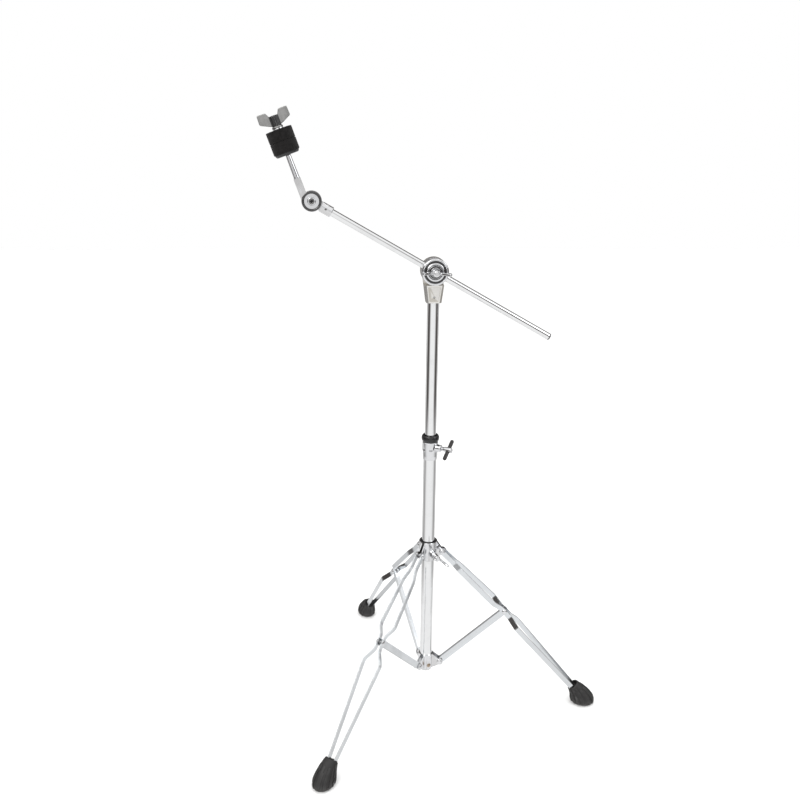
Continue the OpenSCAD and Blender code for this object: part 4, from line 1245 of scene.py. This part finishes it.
def build_arm():
    follow("cymbal_arm", "cast", 0.7, "cymbal_arm", "plated_casting", 4)
    face = HALF_T + 0.03
    cap = turned("disc_cap_turned", [
        (3.03, face), (DISC_R, face), (DISC_R, face + 2.8), (17.2, face + 3.6),
        (16.5, face + 4), (14.9, face + 4), (14.2, face + 3.6), (13.6, face + 1.7),
        (7.4, face + 1.6), (6.7, face + 2.3), (6.3, face + 2.6), (3.03, face + 2.6)], 96)
    cuts = [settle(block("notch", (13, -1.5, face + 0.6), (20, 1.5, face + 6)),
                   turn(-angle, "Z")) for angle in (34, 214)]
    cut(cap, *cuts)
    fit(soften(settle(cap, ARM @ FACING), 0.35), "cymbal_arm", "plated_casting", "disc_cap",
        look="plated_cap")

    head = face + 2.66
    bolt = turned("disc_bolt_cut", [
        (0, -14.6), (2.6, -14.6), (3, -14), (3, head), (4.6, head), (5, head + 0.4),
        (5, head + 3), (4.5, head + 3.6), (0, head + 3.6)], 48, closed=False)
    soften(bolt, 0.2)
    cut(bolt, rod("socket", 2.7, head + 1.4, head + 6, sides=6))
    fit(smooth(settle(bolt, ARM @ FACING)), "disc_bolt", "dark_screw", "disc_bolt")
    follow("disc_nut", "cut", 0.3, "cymbal_arm", "plated_casting")

    post = turned("cymbal_post_drawn", [
        (0, 44.05), (5.3, 44.05), (5.3, 46), (5.1, 47.4), (4.6, SEAT_AT - 1),
        (4.2, SEAT_AT - 0.05), (0, SEAT_AT - 0.05)], 64, closed=False)
    soften(post, 0.3)
    foot = rod("foot", THREAD_R, 31.1, 44.2)
    thread = threaded("thread", THREAD_R, SEAT_AT - 0.1, POST_TOP)
    post = gather("cymbal_post_drawn", [post, foot, thread])
    fit(settle(post, POST), "cymbal_arm", "plated_casting", "cymbal_post")


def build_felts():
    cup = turned("seat_cup_moulded", [
        (THREAD_HOLE, SEAT_AT), (18.4, SEAT_AT), (19.4, SEAT_AT + 0.4), (21.2, SEAT_AT + 3),
        (21.4, FELT_FOOT), (SLEEVE_R, FELT_FOOT), (SLEEVE_R, FELT_TOP - 3),
        (THREAD_HOLE, FELT_TOP - 3)])
    fit(soften(settle(cup, POST), 0.35), "cymbal_arm", "black_plastic", "seat_cup")

    rounding = sizes().felt_round
    for name, foot in (("felt_lower", FELT_FOOT), ("felt_upper", FELT_FOOT + FELT_T + 0.1)):
        low, high = foot + 0.05, foot + FELT_T - 0.05
        reach = FELT_R - rounding
        rim = [(reach + rounding * x, low + rounding + rounding * y)
               for x, y in arc(1, -90, 0, 6)]
        rim += [(FELT_R, low + (high - low) * k / 8) for k in range(2, 7)]
        rim += [(reach + rounding * x, high - rounding + rounding * y)
                for x, y in arc(1, 0, 90, 6)]
        flat = [5.4, 9, 12, 15, 18]
        felt = turned(name + "_pressed", [(r, low) for r in flat] + rim
                      + [(r, high) for r in reversed(flat)], 120)
        roughen(felt, name)
        fit(settle(felt, POST), "cymbal_arm", "black_felt", name)

    washer = sleeve("felt_washer_stamped", 4.15, 9.4, FELT_TOP + 0.05, FELT_TOP + 2.55)
    fit(soften(settle(washer, POST), 0.4), "cymbal_arm", "plated_casting", "felt_washer")


def roughen(felt, name):
    """Give a felt the uneven skin of pressed wool."""
    clumps = bpy.data.textures.new(name + "_clumps", "CLOUDS")
    clumps.noise_scale = 0.0045
    clumps.noise_depth = 3
    finish_modifier(felt, "SUBSURF", subdivision_type="SIMPLE", levels=1, render_levels=1)
    finish_modifier(felt, "DISPLACE", texture=clumps, mid_level=0.62,
                    strength=sizes().felt_rough * MM, texture_coords="LOCAL")
    take(felt)
    bpy.ops.object.shade_smooth()


def build_cymbal_wing_nut():
    tall, span = 20.5, 27.5
    hub = turned("cymbal_wing_nut_cast", [
        (0, 0), (9.9, 0), (9.7, 1.6), (8.4, 2.8), (7.4, 3.4), (7.4, tall - 1.2), (6.6, tall),
        (0, tall)], 72, closed=False)
    for k in range(12):
        weld(hub, settle(rod("rib", 0.95, 2, tall - 2.2, sides=12),
                         turn(30 * k, "Z") @ at(7.2, 0, 0)))
    outline = [(3, 4), (9, 4.4), (14, 6.4), (span - 1.4, 11.8), (span, 13.6),
               (span - 0.6, 27), (span - 1.6, 28.4), (span - 3, 28.5), (12.6, 28.3),
               (11.2, 27.4), (8.6, 22.4), (7, 19.6), (3, 19)]
    cast(add_wings(hub, outline, 4.6), sizes().fillet * 0.85, 4)
    cut(hub, rod("bore", THREAD_HOLE, -2, tall - 0.8))
    settle(hub, ARM @ at(POST_X, 0, NUT_FOOT))
    fit(shade_below(hub, 45), "cymbal_wing_nut", "grey_casting", "cymbal_wing_nut")


def build_guide():
    """The nylon guide inside the lower tube."""
    follow("guide_ring", "moulded", 0.25, "guide", "white_plastic")


# ---------- studio ----------
def build_stage():
    studio = bpy.context.scene.stand_studio
    clear()
    bpy.ops.mesh.primitive_plane_add(size=16, location=(0, 0, 0))
    floor = bpy.context.object
    floor.name = "floor"
    f = Finish("finish_floor", Specular_IOR_Level=0.2)
    cloud = f.noise(f.place(), 1.3, 3, 0.5)
    speck = f.noise(f.place(), 260, 2, 0.6)
    tint = tuple(studio.floor)
    shade = f.blend(cloud * 0.35, tint, toned(tint, 0.975))
    f.drive(Base_Color=shade, Roughness=0.7 + speck * 0.15)
    floor.data.materials.append(f.material)
    floor.visible_glossy = False

    scene = bpy.context.scene
    scene.view_settings.view_transform = "Standard"
    light_sky(scene)
    for name, where, spin, size, power, tint in (
            ("key", (-1.6, -1.9, 2.6), (48, 0, -38), 1.6, studio.key_power, (1, 0.985, 0.96)),
            ("fill", (2.1, -1.4, 1.9), (58, 0, 56), 1.4, studio.key_power * 0.45,
             (0.96, 0.98, 1)),
            ("top", (0.1, 0.5, 3.1), (-9, 0, 0), 1.8, studio.key_power * 0.6, (1, 1, 1))):
        bpy.ops.object.light_add(type="AREA", location=where,
                                 rotation=[math.radians(a) for a in spin])
        light = bpy.context.object
        light.name = name + "_light"
        light.data.shape = "SQUARE"
        light.data.size = size
        light.data.energy = power
        light.data.color = tint

    bpy.ops.object.camera_add(location=studio.camera_at)
    camera = bpy.context.object
    turned_to = (Matrix.Rotation(studio.camera_heading, 4, "Z")
                 @ Matrix.Rotation(studio.camera_pitch, 4, "X")
                 @ Matrix.Rotation(studio.camera_roll, 4, "Z"))
    camera.rotation_euler = turned_to.to_euler()
    camera.data.lens = studio.lens
    camera.data.sensor_width = 36
    camera.data.clip_start = 0.05
    scene.camera = camera


def light_sky(scene):
    """A white studio whose darker bands give round plating its edges."""
    world = bpy.data.worlds.new("studio")
    world.use_nodes = True
    scene.world = world
    sky = Wiring(world.node_tree)
    where = sky.node("TexCoord", out="Generated")
    x, y, z = sky.axes(where, "XYZ")
    flat = (x * x + y * y + 0.0001) ** 0.5
    ahead = (x * 0.087 + y * 0.996) / flat * 0.5 + 0.5

    def zone(*stops):
        """How light one band of the room is, from behind the camera to ahead of it."""
        return sky.node("ValToRGB", {"stops": stops}, {"Fac": ahead})

    floor = zone((0, 0.96), (0.5, 0.95), (0.62, 0.85), (0.8, 0.9), (1, 0.95))
    ground = zone((0, 0.97), (0.22, 0.92), (0.4, 0.55), (0.56, 0.25), (0.68, 0.5),
                  (0.78, 0.75), (0.9, 0.5), (1, 0.45))
    low = zone((0, 0.98), (0.1, 0.98), (0.2, 0.45), (0.28, 0.08), (0.58, 0.05), (0.69, 0.25),
               (0.75, 0.85), (0.84, 0.8), (0.91, 0.3), (1, 0.25))
    room = zone((0, 0.85), (0.02, 0.65), (0.045, 0.05), (0.5, 0.04), (0.68, 0.2), (0.8, 0.4),
                (1, 0.3))
    ceiling = zone((0, 1), (0.6, 1), (0.72, 0.1), (1, 0.05))
    shade = floor
    for band, bottom, top in ((ground, -0.53, -0.47), (low, -0.36, -0.29), (room, -0.18, -0.13),
                              (ceiling, 0.3, 0.4), (0.06, 0.91, 0.95)):
        shade = shade + (band - shade) * z.between(bottom, top)
    seen = sky.node("LightPath", out="Is Camera Ray")
    soft = sky.node("LightPath", out="Is Diffuse Ray")
    shade = shade + (1 - shade) * seen.above(soft)
    tint = sky.blend(shade, (0.035, 0.026, 0.022), (1, 1, 1))
    light = sky.node("Background", {}, {"Color": tint, "Strength": soft * 0.2 + 1})
    sky.node("OutputWorld", {}, {"Surface": light}, out=None)


# ---------- operators ----------
class StandStep:
    """What every step of the build shares."""

    bl_options = {"REGISTER", "UNDO"}


class STAND_OT_tubes(StandStep, bpy.types.Operator):
    """Draw the column's two tubes, the boom and the plug"""

    bl_idname = "stand.tubes"
    bl_label = "Column, Boom and Plug"

    def execute(self, context):
        build_tubes()
        build_end_cap()
        return {"FINISHED"}


class STAND_OT_brackets(StandStep, bpy.types.Operator):
    """Press the hub's and collar's bracket plates"""

    bl_idname = "stand.brackets"
    bl_label = "Hub and Collar Plates"

    def execute(self, context):
        build_brackets()
        return {"FINISHED"}


class STAND_OT_rivets(StandStep, bpy.types.Operator):
    """Head the rivets and pins of the hub, collar and legs"""

    bl_idname = "stand.rivets"
    bl_label = "Rivets and Pins"

    def execute(self, context):
        build_rivets()
        return {"FINISHED"}


class STAND_OT_braces(StandStep, bpy.types.Operator):
    """Press the three channel braces"""

    bl_idname = "stand.braces"
    bl_label = "Braces"

    def execute(self, context):
        build_braces()
        return {"FINISHED"}


class STAND_OT_strips(StandStep, bpy.types.Operator):
    """Bend the six flat strips of the legs"""

    bl_idname = "stand.strips"
    bl_label = "Leg Strips"

    def execute(self, context):
        build_strips()
        return {"FINISHED"}


class STAND_OT_boots(StandStep, bpy.types.Operator):
    """Mould the three rubber boots"""

    bl_idname = "stand.boots"
    bl_label = "Boots"

    def execute(self, context):
        build_boots()
        return {"FINISHED"}


class STAND_OT_collar(StandStep, bpy.types.Operator):
    """Make the sliding collar's bush, nut and wing screw"""

    bl_idname = "stand.collar"
    bl_label = "Sliding Collar"

    def execute(self, context):
        build_collar()
        return {"FINISHED"}


class STAND_OT_clamp(StandStep, bpy.types.Operator):
    """Make the height clamp, its nylon ring and its bar screw"""

    bl_idname = "stand.clamp"
    bl_label = "Height Clamp"

    def execute(self, context):
        build_clamp()
        return {"FINISHED"}


class STAND_OT_neck(StandStep, bpy.types.Operator):
    """Cast the boom tilter's neck"""

    bl_idname = "stand.neck"
    bl_label = "Tilter Neck"

    def execute(self, context):
        build_neck()
        return {"FINISHED"}


class STAND_OT_jaws(StandStep, bpy.types.Operator):
    """Make the boom tilter's jaws, bolt, washer and nut"""

    bl_idname = "stand.jaws"
    bl_label = "Tilter Jaws"

    def execute(self, context):
        build_jaws()
        return {"FINISHED"}


class STAND_OT_tilter_wing_nut(StandStep, bpy.types.Operator):
    """Cast the boom tilter's wing nut"""

    bl_idname = "stand.tilter_wing_nut"
    bl_label = "Tilter Wing Nut"

    def execute(self, context):
        build_tilter_wing_nut()
        return {"FINISHED"}


class STAND_OT_socket(StandStep, bpy.types.Operator):
    """Cast the boom's socket and its screw"""

    bl_idname = "stand.socket"
    bl_label = "Boom Socket"

    def execute(self, context):
        build_socket()
        return {"FINISHED"}


class STAND_OT_arm(StandStep, bpy.types.Operator):
    """Make the cymbal arm, its disc cap, bolt and post"""

    bl_idname = "stand.arm"
    bl_label = "Cymbal Arm and Post"

    def execute(self, context):
        build_arm()
        return {"FINISHED"}


class STAND_OT_felts(StandStep, bpy.types.Operator):
    """Press the two felts between their cup and washer"""

    bl_idname = "stand.felts"
    bl_label = "Felts and Cup"

    def execute(self, context):
        build_felts()
        return {"FINISHED"}


class STAND_OT_cymbal_wing_nut(StandStep, bpy.types.Operator):
    """Cast the wing nut that closes the felts"""

    bl_idname = "stand.cymbal_wing_nut"
    bl_label = "Cymbal Wing Nut"

    def execute(self, context):
        build_cymbal_wing_nut()
        return {"FINISHED"}


class STAND_OT_guide(StandStep, bpy.types.Operator):
    """Mould the guide inside the lower tube"""

    bl_idname = "stand.guide"
    bl_label = "Tube Guide"

    def execute(self, context):
        build_guide()
        return {"FINISHED"}


class STAND_OT_stage(StandStep, bpy.types.Operator):
    """Lay the floor and set the lights and camera"""

    bl_idname = "stand.stage"
    bl_label = "Studio"

    def execute(self, context):
        build_stage()
        return {"FINISHED"}


STEPS = (
    STAND_OT_tubes,
    STAND_OT_brackets,
    STAND_OT_rivets,
    STAND_OT_braces,
    STAND_OT_strips,
    STAND_OT_boots,
    STAND_OT_collar,
    STAND_OT_clamp,
    STAND_OT_neck,
    STAND_OT_jaws,
    STAND_OT_tilter_wing_nut,
    STAND_OT_socket,
    STAND_OT_arm,
    STAND_OT_felts,
    STAND_OT_cymbal_wing_nut,
    STAND_OT_guide,
    STAND_OT_stage,
)


class STAND_PT_panel(bpy.types.Panel):
    """The stand's sizes, finishes, studio and steps in the sidebar."""

    bl_idname = "STAND_PT_panel"
    bl_label = "Cymbal Boom Stand"
    bl_space_type = "VIEW_3D"
    bl_region_type = "UI"
    bl_category = "Stand"

    def draw(self, context):
        for group in (context.scene.stand_sizes, context.scene.stand_finishes,
                      context.scene.stand_studio):
            box = self.layout.box()
            for name in group.__annotations__:
                box.prop(group, name)
        column = self.layout.column(align=True)
        for operator in STEPS:
            column.operator(operator.bl_idname)


GROUPS = {"stand_sizes": StandSizes, "stand_finishes": StandFinishes,
          "stand_studio": StandStudio}


def register():
    for group in GROUPS.values():
        bpy.utils.register_class(group)
    for name, group in GROUPS.items():
        setattr(bpy.types.Scene, name, bpy.props.PointerProperty(type=group))
    for cls in (*STEPS, STAND_PT_panel):
        bpy.utils.register_class(cls)


def unregister():
    for cls in (STAND_PT_panel, *reversed(STEPS)):
        bpy.utils.unregister_class(cls)
    for name, group in GROUPS.items():
        delattr(bpy.types.Scene, name)
        bpy.utils.unregister_class(group)


def main():
    """Build every piece and the studio."""
    register()
    for operator in STEPS:
        getattr(bpy.ops.stand, operator.bl_idname.split(".")[1])()


if __name__ == "__main__":
    main()
